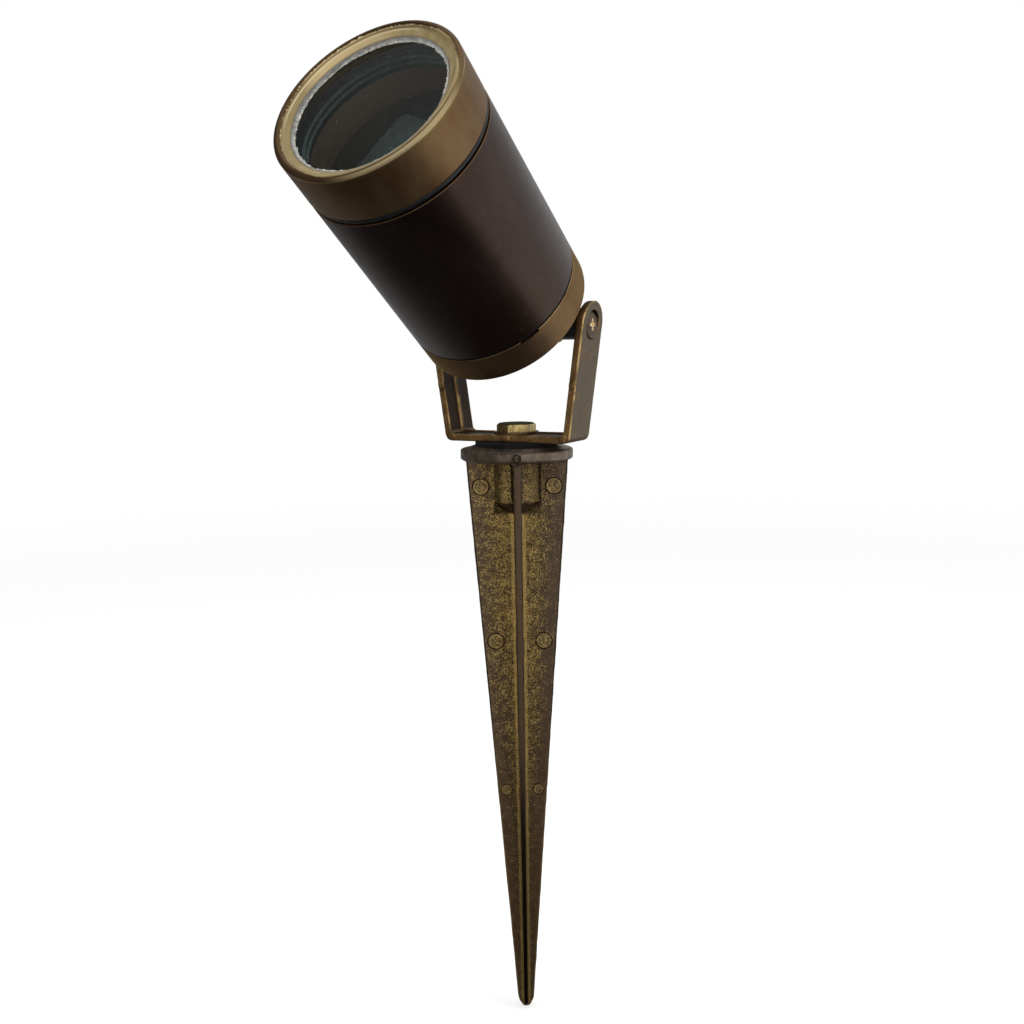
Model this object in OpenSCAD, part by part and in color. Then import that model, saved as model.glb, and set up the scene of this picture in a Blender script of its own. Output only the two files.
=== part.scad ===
// Garden spike spotlight: a turned round head that tilts in a cast yoke,
// and a cast ground spike that the yoke turns on.
// Millimetres, +Z up. The origin is the middle of the flange's underside, at soil level,
// and +X runs along the tilt axis. The head is drawn along its own axis and tilted as a whole.

/* [Ground spike] */
// Diameter of the flange that stops on the soil
flange_d = 43; // [40:0.5:56]
// Thickness of the flange
flange_t = 4.3; // [3:0.1:8]
// Rounding of the flange's rim
flange_round = 0.8; // [0.3:0.1:1.4]
// Diameter of the raised step that carries the gasket
step_d = 35; // [30:0.5:39]
// Height of the raised step
step_h = 1; // [0.5:0.1:3]
// Length of the spike below the soil line
spike_len = 226.5; // [180:0.5:300]
// Width across two opposite fins at the flange
fin_top_w = 39.2; // [32:0.2:39.6]
// Width across two opposite fins where the blunt tip starts
fin_tip_w = 6.8; // [5:0.1:14]
// Length of the rounded tip
tip_len = 6.5; // [4:0.5:14]
// Thickness of a fin at the flange
fin_top_t = 3; // [2.4:0.1:5]
// Thickness of a fin at the tip
fin_tip_t = 2.2; // [1.6:0.1:3]
// Diameter of the core where the fins meet, at the flange
core_top_d = 6.4; // [5:0.1:8]
// Diameter of the core at the tip
core_tip_d = 3.2; // [2.4:0.1:4.5]
// Diameter of the socket boss under the flange
boss_d = 16.8; // [14:0.2:24]
// Length of the boss before its cone
boss_len = 16.2; // [14:0.2:30]
// Length of the cone that ends the boss
boss_cone = 4.9; // [3:0.1:10]
// Depth of the threaded socket below the step
socket_depth = 20; // [18:0.5:20.5]
// Turn of the fins about the spike, against the tilt axis
spike_turn = 28.6; // [0:0.1:90]

/* [Casting marks] */
// Diameter of the large ejector pads on the fins
pad_d = 6; // [4:0.1:8]
// Height of the pads and marks above their face
pad_h = 0.2; // [0.1:0.05:0.5]
// Drop of the pad rows below the soil line, as seen from the flange
pad_drop = 10.5; // [8:0.5:16]
// Spacing of the pad rows down the fins
pad_pitch = 61; // [35:0.5:65]
// Diameter of the raised dimple on the flange rim
dimple_d = 3.6; // [2.4:0.1:4]
// Diameter of the ejector marks on the yoke's edge
mark_d = 2.6; // [1.6:0.1:2.8]

/* [Clamp bolt] */
// Thread diameter of the clamp bolt
bolt_d = 8; // [6:0.5:10]
// Length of its shank
bolt_len = 20; // [16:1:24]
// Width across the flats of its head
bolt_af = 13; // [11:0.5:17]
// Height of its low head
bolt_head_h = 3.2; // [2.5:0.1:6]
// Turn of the head as tightened
bolt_turn = 33.6; // [0:0.1:60]
// Diameter of the flat washer
washer_d = 17; // [15:0.2:17]
// Thickness of the flat washer
washer_t = 0.8; // [0.6:0.1:2]
// Diameter of the rubber gasket under the yoke
base_gasket_d = 31.6; // [24:0.2:34]
// Thickness of the rubber gasket
base_gasket_t = 1.7; // [1:0.1:4]

/* [Yoke] */
// How far the arms' outer faces lie inside the line of the head, on the tilt axis
arm_inset = 0.1; // [0:0.1:3]
// Thickness of the yoke's bar
yoke_t = 2.8; // [2.8:0.1:4.5]
// Depth of the bar, front to back
yoke_depth = 17.1; // [15:0.1:20]
// Outward lean of each arm, in degrees
yoke_splay = 8; // [4:0.5:10]
// Height of the tilt axis above the yoke's underside
pivot_h = 43.1; // [42:0.1:60]
// Outer radius of the two bottom corners
corner_r = 3; // [1:0.1:6]
// Radius inside the bottom corners
inner_r = 2; // [1:0.1:4]
// Width of the rib along the inside
rib_w = 1.8; // [1:0.1:4]
// Height of the rib along the inside
rib_h = 0.8; // [0.4:0.1:1.2]
// Diameter of the flat boss around each pivot hole, inside
boss_face_d = 13; // [12:0.2:14]
// How far that boss stands in from the arm, on the tilt axis
boss_face_h = 1.2; // [1.1:0.1:3]

/* [Tilt pivot] */
// Thread diameter of the pivot screws
screw_d = 5; // [4:0.5:6]
// Diameter of the pivot screws' heads
screw_head_d = 9.8; // [8:0.1:10.4]
// Height of the pivot screws' heads
screw_head_h = 1.9; // [1.5:0.1:2.5]
// Diameter of the recess that takes a screw head
recess_d = 10.6; // [10.6:0.1:12]
// Depth of that recess on the tilt axis
recess_depth = 1.9; // [1.4:0.1:2.2]
// Diameter of the black spacers
spacer_d = 10.6; // [9:0.1:12]
// Distance between the two ears on the rear cap
ear_gap = 25; // [22:0.5:28]
// Thickness of an ear
ear_t = 6; // [5:0.5:8]
// Radius of an ear's round end
ear_r = 6.2; // [5:0.1:8]
// Tilt of the head from straight up, towards the front
head_tilt = 53.3; // [-95:0.1:95]

/* [Head] */
// Outer diameter of cap, housing and bezel
head_d = 65; // [62:0.2:80]
// Distance from the tilt axis to the rear cap
cap_offset = 11.2; // [10.5:0.1:25]
// Length of the rear cap
cap_len = 12.6; // [10:0.2:24]
// Thickness of the rear cap's back wall
cap_wall = 4; // [3:0.1:6]
// Length of the rear cap's collar inside the housing
cap_collar = 5; // [3:0.5:10]
// Wall of that collar
collar_wall = 2.2; // [1.5:0.1:4]
// Rounding of the rear cap's back edge
cap_round = 1; // [0.3:0.1:3]
// Width of the pry notch in the rear cap's rim
notch_w = 7.8; // [4:0.2:14]
// Depth of the pry notch
notch_depth = 0.9; // [0.5:0.1:2]
// How far the pry notch reaches in from the surface
notch_reach = 1.7; // [1:0.1:2.5]
// Place of the pry notch around the rim, in degrees
notch_turn = 316.5; // [0:0.5:359]
// Thickness of the gasket between rear cap and housing
rear_seal_t = 0.6; // [0.4:0.1:2]
// How far that gasket's edge lies below the surface
rear_seal_inset = 0.4; // [0.1:0.1:1]
// Length of the housing between its two joints
housing_len = 69.6; // [66:0.2:110]
// Wall of the housing
housing_wall = 3; // [2.6:0.1:4]
// Softened edge of the joints
edge_round = 0.3; // [0.1:0.05:0.6]
// Width of the sealing groove behind the bezel
groove_w = 2.3; // [2.2:0.1:3.5]
// Section of the sealing ring in the groove
seal_ring_d = 2; // [1.6:0.1:2]

/* [Bezel and glass] */
// Length of the bezel
bezel_len = 17.9; // [16:0.1:26]
// Wall of the bezel over its thread
bezel_wall = 2; // [1.6:0.1:3]
// Rounding of the bezel's front rim
rim_round = 1.5; // [0.5:0.1:2]
// Rounding of the bezel's rear edge
bezel_edge = 0.5; // [0.2:0.1:1]
// How far the bevel leads down from the rim
rim_depth = 2.4; // [1.5:0.1:4]
// Step from the bezel's thread in to the pocket of the glass
pocket_step = 1; // [0.5:0.1:2]
// Thickness of the lip over the glass
lip_t = 0.7; // [0.5:0.1:1.5]
// How far the lip reaches in over the pocket
lip_w = 2.2; // [1.5:0.1:5]
// Thickness of the sealant around the glass
sealant_t = 0.3; // [0.2:0.05:0.4]
// How far the sealant bead creeps in over the glass
bead_w = 1.6; // [0.8:0.1:2.5]
// Height of that bead on the glass
bead_h = 0.55; // [0.3:0.05:0.6]
// Thickness of the glass
glass_t = 5; // [3:0.1:6]
// Relief of the plain neck below the thread
neck_cut = 0.25; // [0.1:0.05:0.5]
// Thickness of the glass gasket's flange
gasket_flange_t = 2.6; // [1.5:0.1:3.5]
// Length of the glass gasket's skirt
gasket_skirt = 3.7; // [2:0.1:5]
// Wall of the glass gasket's skirt
gasket_wall = 1; // [0.6:0.1:1.2]
// How far the glass gasket stands in from the light well's wall
gasket_inset = 0.6; // [0.2:0.1:1.5]
// Height of the two ridges inside the glass gasket
ridge_h = 0.8; // [0.3:0.1:1.2]

/* [Lamp unit] */
// Depth of the light well, from the glass to the lamp unit's face
well_depth = 16.9; // [12:0.1:26]
// Wall of the housing around the light well
well_wall = 4.1; // [3.8:0.1:5]
// Step of the ledge that carries the lamp unit
ledge_w = 1.9; // [1:0.1:4]
// Thickness of the ledge
ledge_t = 3; // [2:0.1:6]
// Thickness of the lamp unit's face
face_t = 2.5; // [1.5:0.1:5]
// Side of the square pad on the face
plate_w = 30; // [16:0.5:34]
// Corner radius of the pad
plate_r = 3.5; // [1:0.5:7]
// Height of the pad
plate_h = 0.4; // [0.2:0.1:1]
// Turn of the pad
plate_turn = 66; // [0:1:90]
// Diameter of the lamp unit's can
can_d = 46; // [36:0.5:47]
// Length of the lamp unit's can
can_len = 24; // [12:1:26]
// Number of cooling slots around the can
can_slots = 18; // [6:1:24]
// Width of a cooling slot
slot_w = 2; // [1:0.1:3]
// Depth of a cooling slot
slot_depth = 5; // [3:0.5:8]
// Length of the lamp unit's neck
can_neck = 6; // [3:0.5:8]
// Length of the contact pins behind the neck
pin_len = 7; // [5:0.5:7]
// Diameter of the contact pins
pin_d = 1.5; // [1:0.1:2]
// Distance between the contact pins
pin_gap = 5.3; // [4:0.1:7]
// Height of the lampholder
holder_h = 9; // [8:0.5:12]
// Side of the lampholder
holder_w = 14.4; // [14.2:0.2:20]

/* [Wiring] */
// Length of the terminal block
block_len = 16; // [12:0.5:20]
// Width of the terminal block
block_w = 12; // [8:0.5:14]
// Height of the terminal block
block_h = 10; // [7:0.5:13]
// Diameter of an insulated lead
lead_d = 1.8; // [1:0.1:2.4]
// Distance between the two leads
lead_gap = 6; // [4:0.5:8]
// Distance from the head's axis to the terminal block
block_off = 5; // [5:0.1:6]
// Diameter of the clamp screws in the terminal block
clamp_screw_d = 3; // [2:0.1:3.5]
// Depth of their holes
clamp_depth = 4; // [2:0.5:6]
// Thread diameter of the earth screw
earth_d = 4; // [3:0.5:5]
// Distance from the head's axis to the earth screw
earth_off = 15; // [13:0.5:20]
// Depth of the earth screw's hole in the back wall
earth_depth = 2.6; // [1.5:0.1:2.8]
// Thickness of its head
earth_head_t = 2.2; // [1.5:0.1:3]

/* [Cable gland] */
// Thread diameter of the gland
gland_d = 12; // [12:0.5:13]
// Width across the flats of the gland's hexagons
gland_af = 15; // [15:0.5:17]
// Height of the gland's hexagon
gland_hex_h = 4; // [3:0.5:6]
// Length of the gland's neck inside its nut
gland_neck = 5; // [4:0.5:8]
// Length of the dome nut
gland_nut_len = 7.8; // [7:0.1:12]
// Thickness of the ring under the gland
gland_ring_t = 0.8; // [0.5:0.1:1.5]
// Bore of the rubber insert, for the lead
cable_d = 7; // [5:0.1:7.4]

/* [Fits] */
// Radial clearance of threads, which are drawn plain
thread_gap = 0.08; // [0.05:0.01:0.1]
// Radial clearance of the turning joints
pivot_gap = 0.05; // [0.02:0.01:0.1]
// Clearance at the ends of the turning joints
end_gap = 0.05; // [0.02:0.01:0.1]
// Clearance around rubber and loose pieces
loose_gap = 0.15; // [0.1:0.05:0.3]

/* [Hidden] */
$fn = 96;
over = 1;                                   // how far a cut runs past the face it leaves

// Heights of the stack on the flange
step_z = flange_t + step_h;
yoke_z = step_z + base_gasket_t;
washer_z = yoke_z + yoke_t;
head_z = washer_z + washer_t;
pivot_z = yoke_z + pivot_h;

// Widths along the tilt axis
arm_x = head_d / 2 - arm_inset;                        // outer face of an arm, on the tilt axis
yoke_half = arm_x - pivot_h * tan(yoke_splay);         // half of the yoke's width at its underside
arm_in_x = arm_x - yoke_t / cos(yoke_splay);           // its inner face
boss_x = arm_in_x - boss_face_h;                       // face of the inner boss
recess_x = arm_x - recess_depth;                       // floor of the screw recess
ear_x = ear_gap / 2 + ear_t;                           // outer face of an ear

// Stations along the head, from the tilt axis
head_r = head_d / 2;
cap_z = cap_offset;
cap_end = cap_z + cap_len;
cap_floor = cap_z + cap_wall;
housing_z = cap_end + rear_seal_t;
housing_end = housing_z + housing_len;
bezel_z = housing_end + groove_w;
bezel_end = bezel_z + bezel_len;
opening_z = bezel_end - rim_depth;
lip_z = opening_z - lip_t;
glass_end = lip_z - sealant_t;
glass_z = glass_end - glass_t;
spigot_end = glass_z - gasket_flange_t;
skirt_z = spigot_end - gasket_skirt;
face_end = glass_z - well_depth;
face_z = face_end - face_t;

// Radii of the head
housing_bore_r = head_r - housing_wall;
collar_r = housing_bore_r - thread_gap;
bezel_bore_r = head_r - bezel_wall;
thread_r = bezel_bore_r - thread_gap;
neck_r = thread_r - neck_cut;
pocket_r = bezel_bore_r - pocket_step;
glass_r = pocket_r - sealant_t;
opening_r = pocket_r - lip_w;
well_r = head_r - well_wall;
ledge_r = well_r - ledge_w;
gasket_r = well_r - gasket_inset;
skirt_r = gasket_r + gasket_wall;
counterbore_r = skirt_r + loose_gap;

// Inside the head
can_z = face_z - can_len;
holder_end = can_z - can_neck;
holder_z = holder_end - holder_h;
block_top = cap_floor + block_h;
lead_y = block_off + 0.3 + lead_d / 2;
clamp_y = block_off + 0.68 * block_w;
clamp_z = block_top - clamp_depth;

// Cable gland, which screws into the rear cap
gland_r = gland_d / 2;
gland_hex_r = gland_af / 2 / cos(30);
gland_z = cap_z - gland_ring_t;                        // seat of its hexagon
gland_back = gland_z - gland_hex_h;
gland_neck_z = gland_back - gland_neck;
insert_r = gland_r - 1.1;
insert_z = gland_neck_z - thread_gap;                  // the insert stands out a little, to be pressed
insert_len = gland_neck - 0.5 + thread_gap;

// Points on an arc
function arc(x, y, r, from, to, steps = 6) = [
    for (i = [0:steps])
        let (a = from + (to - from) * i / steps)
        [x + r * cos(a), y + r * sin(a)]
];

function mirrored(points) = [
    for (i = [len(points) - 1:-1:0]) [-points[i][0], points[i][1]]
];

// A 2D outline in Y and Z, carried along X from x0
module along_x(x0, length) {
    translate([x0, 0, 0]) rotate([90, 0, 90]) linear_extrude(length) children();
}

// A 2D outline in X and Z, carried along Y over depth, centred
module along_y(depth) {
    rotate([90, 0, 0]) linear_extrude(depth, center = true) children();
}

// A round bar along X from x0
module bar_x(x0, length, r) {
    translate([x0, 0, 0]) rotate([0, 90, 0]) cylinder(h = length, r = r);
}

module both_sides() {
    children();
    mirror([1, 0, 0]) children();
}

// Places a piece that is drawn along the head's own axis
module on_head() {
    translate([0, 0, pivot_z]) rotate([head_tilt, 0, 0]) children();
}

// Places a piece that is drawn on the tilt axis of the yoke
module on_pivot() {
    translate([0, 0, pivot_z]) children();
}

// ---- Ground spike ----

function fin_half(z) =
    fin_top_w / 2 + (fin_tip_w - fin_top_w) / 2 * -z / (spike_len - tip_len);

function fin_half_t(z) =
    fin_top_t / 2 + (fin_tip_t - fin_top_t) / 2 * -z / spike_len;

// One pair of fins: the tapered outline meets a tapered thickness
module fin_pair() {
    tip_z = tip_len - spike_len;
    side = [for (a = [0:15:90]) [fin_tip_w / 2 * cos(a), tip_z - tip_len * sin(a)]];
    outline = concat([[fin_top_w / 2, flange_t / 2], [fin_top_w / 2, 0]], side);
    section = [
        [fin_top_t / 2, flange_t], [fin_top_t / 2, 0], [fin_tip_t / 2, -spike_len - over],
        [-fin_tip_t / 2, -spike_len - over], [-fin_top_t / 2, 0], [-fin_top_t / 2, flange_t]
    ];
    intersection() {
        along_y(fin_top_w) polygon(concat(outline, mirrored(outline)));
        along_x(-fin_top_w, 2 * fin_top_w) polygon(section);
    }
}

// Three round ejector pads down each side fin, on both faces
module fin_pads() {
    for (row = [0:2]) {
        z = -pad_drop - row * pad_pitch;
        r = (row == 2 ? 0.67 : 1) * pad_d / 2;
        x = fin_half(z) - 1.6 * r;
        both_sides() translate([x, 0, z]) rotate([90, 0, 0])
            cylinder(h = 2 * (fin_half_t(z) + pad_h), r = r, center = true);
    }
}

module flange() {
    r = flange_d / 2;
    e = flange_round;
    profile = concat(
        [[0, 0]],
        arc(r - e, e, e, -90, 0),
        arc(r - e, flange_t - e, e, 0, 90),
        [[step_d / 2, flange_t], [step_d / 2, step_z - 0.3], [step_d / 2 - 0.3, step_z], [0, step_z]]
    );
    rotate_extrude() polygon(profile);
}

module socket_boss() {
    core_end = tip_len - spike_len;
    translate([0, 0, -boss_len]) cylinder(h = boss_len + flange_t / 2, r = boss_d / 2);
    translate([0, 0, -boss_len - boss_cone])
        cylinder(h = boss_cone, r1 = core_top_d / 2 - 0.4, r2 = boss_d / 2);
    translate([0, 0, core_end]) cylinder(h = -core_end, r1 = core_tip_d / 2, r2 = core_top_d / 2);
}

// Raised ring with a hollow, left by the mould on the rim
module rim_dimple() {
    translate([0, -flange_d / 2, flange_t / 2]) rotate([90, 0, 0])
        difference() {
            translate([0, 0, -over]) cylinder(h = over + 0.35, r = dimple_d / 2);
            translate([0, 0, -0.4]) cylinder(h = over, r = dimple_d / 2 - 0.7);
        }
}

module ground_spike() {
    color("#4a3f35") rotate([0, 0, spike_turn]) difference() {
        union() {
            for (turn = [0, 90]) rotate([0, 0, turn]) {
                fin_pair();
                fin_pads();
            }
            flange();
            socket_boss();
            rim_dimple();
        }
        translate([0, 0, step_z - socket_depth])
            cylinder(h = socket_depth + over, r = bolt_d / 2 + thread_gap);
    }
}

module base_gasket() {
    color("#15171a") translate([0, 0, step_z]) difference() {
        cylinder(h = base_gasket_t, r = base_gasket_d / 2);
        translate([0, 0, -over]) cylinder(h = base_gasket_t + 2 * over, r = bolt_d / 2 + loose_gap);
    }
}

// ---- Clamp bolt ----

module clamp_bolt() {
    corner = bolt_af / 2 / cos(30);
    bevel = 0.7;
    color("#7d6a35") {
        translate([0, 0, head_z - bolt_len]) cylinder(h = bolt_len + bolt_head_h / 2, r = bolt_d / 2);
        translate([0, 0, head_z]) intersection() {
            rotate([0, 0, bolt_turn]) cylinder(h = bolt_head_h, r = corner, $fn = 6);
            union() {
                cylinder(h = bolt_head_h - bevel, r = corner + over);
                translate([0, 0, bolt_head_h - bevel])
                    cylinder(h = bevel, r1 = corner + 0.05, r2 = corner - 1.4 * bevel);
            }
        }
    }
}

module clamp_washer() {
    color("#5b4a33") translate([0, 0, washer_z]) difference() {
        cylinder(h = washer_t, r = washer_d / 2);
        translate([0, 0, -over]) cylinder(h = washer_t + 2 * over, r = bolt_d / 2 + loose_gap);
    }
}

// ---- Yoke ----

// Right half of a U: a bar of thickness t that leans out by the splay, from the underside z0
// up to the height top. half is its outer half width at z0.
function half_u(half, z0, t, r_out, r_in, top) =
    let (
        s = yoke_splay,
        reach = 1 / tan((90 + s) / 2),
        in_half = half - t * (1 - sin(s)) / cos(s),
        top_x = half + (top - z0) * tan(s)
    )
    concat(
        arc(half - r_out * reach, z0 + r_out, r_out, -90, -s, 8),
        [[top_x, top], [top_x - t / cos(s), top]],
        arc(in_half - r_in * reach, z0 + t + r_in, r_in, -s, -90, 8)
    );

module u_outline(half, z0, t, r_out, r_in, top) {
    right = half_u(half, z0, t, r_out, r_in, top);
    polygon(concat(right, mirrored(right)));
}

// The rib starts inside the bar and stands rib_h out of its inner face
module rib() {
    inset = 1;
    half = yoke_half - inset * (1 - sin(yoke_splay)) / cos(yoke_splay);
    difference() {
        along_y(rib_w)
            u_outline(half, yoke_z + inset, yoke_t - inset + rib_h, max(corner_r - inset, 0.3),
                max(inner_r - rib_h, 0.3), pivot_z);
        translate([0, 0, washer_z]) cylinder(h = rib_h + over, r = washer_d / 2 + 0.5);
    }
}

// Side view of the bar: straight, with round arm ends about the tilt axis
module arm_side() {
    r = yoke_depth / 2;
    polygon(concat([[-r, yoke_z - over], [r, yoke_z - over]], arc(0, pivot_z, r, 0, 180, 24)));
}

module yoke_marks() {
    y = -yoke_depth / 2 - pad_h / 2;
    arm_mark = pivot_h / 2;
    mid = yoke_t / 2;
    arm_at = yoke_half + arm_mark * tan(yoke_splay) - mid;
    places = [[0, mid], [yoke_half - 1.8 * mid, 1.3 * mid], [arm_at, arm_mark]];
    both_sides()
        for (at = places)
            translate([at[0], y, yoke_z + at[1]]) rotate([90, 0, 0])
                cylinder(h = pad_h + 0.2, r = mark_d / 2, center = true);
}

module yoke() {
    reach = arm_x - boss_x;
    color("#6b5236") difference() {
        union() {
            intersection() {
                union() {
                    along_y(yoke_depth)
                        u_outline(yoke_half, yoke_z, yoke_t, corner_r, inner_r, pivot_z + yoke_depth);
                    rib();
                }
                along_x(-2 * arm_x, 4 * arm_x) arm_side();
            }
            on_pivot() both_sides() bar_x(boss_x, boss_face_h + yoke_t / 2, boss_face_d / 2);
            yoke_marks();
        }
        on_pivot() both_sides() {
            bar_x(boss_x - over, reach + 2 * over, screw_d / 2 + pivot_gap);
            bar_x(recess_x, recess_depth + yoke_depth, recess_d / 2);
            bar_x(boss_x - boss_face_d / 2, boss_face_d / 2, boss_face_d / 2);
        }
        translate([0, 0, yoke_z - over]) cylinder(h = yoke_t + 2 * over, r = bolt_d / 2 + pivot_gap);
    }
}

// ---- Tilt pivot ----

module pivot_screw() {
    seat = recess_x + end_gap;
    slot = 0.42 * screw_head_d;
    bevel = 0.4;
    difference() {
        union() {
            bar_x(ear_gap / 2 + 0.5, seat - ear_gap / 2, screw_d / 2);
            bar_x(seat, screw_head_h - bevel, screw_head_d / 2);
            translate([seat + screw_head_h - bevel, 0, 0]) rotate([0, 90, 0])
                cylinder(h = bevel, r1 = screw_head_d / 2, r2 = screw_head_d / 2 - 2 * bevel);
        }
        for (turn = [0, 90])
            translate([seat + screw_head_h, 0, 0]) rotate([turn, 0, 0])
                cube([2.4, slot, 0.9], center = true);
    }
}

module pivot_screws() {
    color("#8a7440") on_pivot() both_sides() pivot_screw();
}

module pivot_spacers() {
    color("#121315") on_pivot() both_sides() difference() {
        bar_x(ear_x, boss_x - end_gap - ear_x, spacer_d / 2);
        bar_x(ear_x - over, boss_x - ear_x + 2 * over, screw_d / 2 + thread_gap);
    }
}

// ---- Rear cap ----

// An ear hangs behind the cap, with a round end about the tilt axis
module ear() {
    outline = concat(arc(0, 0, ear_r, 180, 360, 20), [[ear_r + 2, cap_z + 1], [-ear_r - 2, cap_z + 1]]);
    along_x(ear_gap / 2, ear_t) polygon(outline);
}

module rear_cap() {
    r = head_r;
    collar_end = housing_z + cap_collar;
    inner = collar_r - collar_wall;
    fillet = 1.5;
    profile = concat(
        [[0, cap_z]],
        arc(r - cap_round, cap_z + cap_round, cap_round, -90, 0),
        arc(r - edge_round, cap_end - edge_round, edge_round, 0, 90, 3),
        [[collar_r, cap_end], [collar_r, collar_end], [inner, collar_end]],
        arc(inner - fillet, cap_floor + fillet, fillet, 0, -90, 4),
        [[0, cap_floor]]
    );
    color("#6f5738") on_head() difference() {
        union() {
            rotate_extrude() polygon(profile);
            both_sides() ear();
        }
        both_sides() bar_x(ear_gap / 2 - over, ear_t + 2 * over, screw_d / 2 + thread_gap);
        translate([0, 0, cap_z - over]) cylinder(h = cap_wall + 2 * over, r = gland_r + thread_gap);
        rotate([0, 0, notch_turn]) translate([r, 0, cap_end])
            cube([2 * notch_reach, notch_w, 2 * notch_depth], center = true);
        translate([0, -earth_off, cap_floor - earth_depth])
            cylinder(h = earth_depth + over, r = earth_d / 2 + thread_gap);
    }
}

module rear_seal() {
    color("#101214") on_head() translate([0, 0, cap_end]) difference() {
        cylinder(h = rear_seal_t, r = head_r - rear_seal_inset);
        translate([0, 0, -over]) cylinder(h = rear_seal_t + 2 * over, r = collar_r + loose_gap);
    }
}

// ---- Housing ----

module housing() {
    r = head_r;
    e = edge_round;
    lead_in = 0.4;
    ledge_z = face_z - ledge_t;
    profile = concat(
        arc(r - e, housing_z + e, e, -90, 0, 3),
        arc(r - e, housing_end - e, e, 0, 90, 3),
        [[neck_r, housing_end], [neck_r, bezel_z], [thread_r, bezel_z + lead_in]],
        [[thread_r, spigot_end - lead_in], [thread_r - lead_in, spigot_end]],
        [[counterbore_r, spigot_end], [counterbore_r, skirt_z]],
        [[well_r, skirt_z], [well_r, face_z], [ledge_r, face_z]],
        [[ledge_r, ledge_z], [housing_bore_r, ledge_z - (housing_bore_r - ledge_r)]],
        [[housing_bore_r, housing_z]]
    );
    color("#3b2c2c") on_head() rotate_extrude() polygon(profile);
}

module front_seal() {
    ring = seal_ring_d / 2;
    stretch = 0.02;
    color("#24272a") on_head() translate([0, 0, housing_end + groove_w / 2])
        rotate_extrude() translate([neck_r + stretch + ring, 0]) circle(r = ring, $fn = 48);
}

// ---- Bezel and glass ----

// The ridged rubber ring that the bezel presses on the housing
module glass_gasket() {
    pitch = (gasket_skirt + gasket_flange_t) / 3;
    ridges = [
        for (k = [1:2], p = [[-0.7, 0], [0, -ridge_h], [0.7, 0]])
            [gasket_r + p[1], skirt_z + k * pitch + p[0]]
    ];
    rim = bezel_bore_r - 2 * loose_gap;
    profile = concat(
        [[gasket_r, skirt_z]],
        ridges,
        [[gasket_r, glass_z], [rim, glass_z], [rim, spigot_end]],
        [[skirt_r, spigot_end], [skirt_r, skirt_z]]
    );
    color("#17191b") on_head() rotate_extrude() polygon(profile);
}

module bezel() {
    r = head_r;
    soft = 0.4;
    profile = concat(
        [[bezel_bore_r, bezel_z]],
        arc(r - bezel_edge, bezel_z + bezel_edge, bezel_edge, -90, 0, 4),
        arc(r - rim_round, bezel_end - rim_round, rim_round, 0, 90, 8),
        [[r - rim_round - soft, bezel_end - soft / 3], [opening_r, opening_z], [opening_r, lip_z]],
        [[pocket_r, lip_z], [pocket_r, glass_z], [bezel_bore_r, glass_z]]
    );
    color("#8b7550") on_head() rotate_extrude() polygon(profile);
}

module glass() {
    color("#a8b4b4", 0.35) on_head() translate([0, 0, glass_z]) cylinder(h = glass_t, r = glass_r);
}

// Fills the pocket around and over the glass, and creeps out under the lip as a bead
module sealant() {
    start = glass_z + 0.4;
    bead_r = opening_r - bead_w;
    profile = [
        [glass_r, start], [pocket_r, start], [pocket_r, lip_z], [opening_r, lip_z],
        [opening_r, glass_end + bead_h + lip_t], [opening_r - bead_w / 2, glass_end + bead_h],
        [bead_r, glass_end], [glass_r, glass_end]
    ];
    color("#c9ccc9") on_head() rotate_extrude() polygon(profile);
}

// ---- Lamp unit ----

module rounded_square(w, r) {
    inner = w / 2 - r;
    polygon([for (q = [0:3]) each arc(inner * (q == 0 || q == 3 ? 1 : -1), inner * (q < 2 ? 1 : -1),
        r, q * 90, q * 90 + 90, 5)]);
}

// The black face at the bottom of the light well, with its bare pad
module lamp_face() {
    color("#14181a") on_head() {
        translate([0, 0, face_z]) cylinder(h = face_t, r = well_r - loose_gap);
        translate([0, 0, face_end - over]) rotate([0, 0, plate_turn])
            linear_extrude(plate_h + over) rounded_square(plate_w, plate_r);
    }
}

// Places two children at plus and minus half of a distance along X
module pair(distance) {
    for (side = [-1, 1]) translate([side * distance / 2, 0, 0]) children();
}

// A slotted can that cools the lamp, with a plain neck behind it
module lamp_unit() {
    web = 3;                                           // what the slots leave behind the face
    color("#9a9c9d") on_head() difference() {
        union() {
            translate([0, 0, can_z]) cylinder(h = can_len, r = can_d / 2);
            translate([0, 0, holder_end]) cylinder(h = can_neck, r = holder_w / 2);
        }
        for (k = [0:can_slots - 1]) rotate([0, 0, k * 360 / can_slots])
            translate([can_d / 2 - slot_depth, -slot_w / 2, can_z - over])
                cube([slot_depth + over, slot_w, can_len - web + over]);
        pair(pin_gap) translate([0, 0, holder_end - over]) cylinder(h = 3 + over, r = pin_d / 2);
    }
}

module lamp_pins() {
    color("#c9b06a") on_head() pair(pin_gap)
        translate([0, 0, holder_end - pin_len]) cylinder(h = pin_len + 3, r = pin_d / 2);
}

module lampholder() {
    hole = pin_len + 0.5;
    color("#d9d4c6") on_head() difference() {
        translate([-holder_w / 2, -holder_w / 2, holder_z]) cube([holder_w, holder_w, holder_h]);
        pair(pin_gap) translate([0, 0, holder_end - hole])
            cylinder(h = hole + over, r = pin_d / 2 + thread_gap);
    }
}

// ---- Wiring ----

module leads() {
    color("#b8b4ac") on_head() pair(lead_gap)
        translate([0, lead_y, block_top]) cylinder(h = holder_z - block_top, r = lead_d / 2);
}

module terminal_block() {
    color("#e6e3da") on_head() difference() {
        translate([-block_len / 2, block_off, cap_floor]) cube([block_len, block_w, block_h]);
        pair(block_len / 2) translate([0, clamp_y, clamp_z])
            cylinder(h = clamp_depth + over, r = clamp_screw_d / 2 + thread_gap);
    }
}

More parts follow.
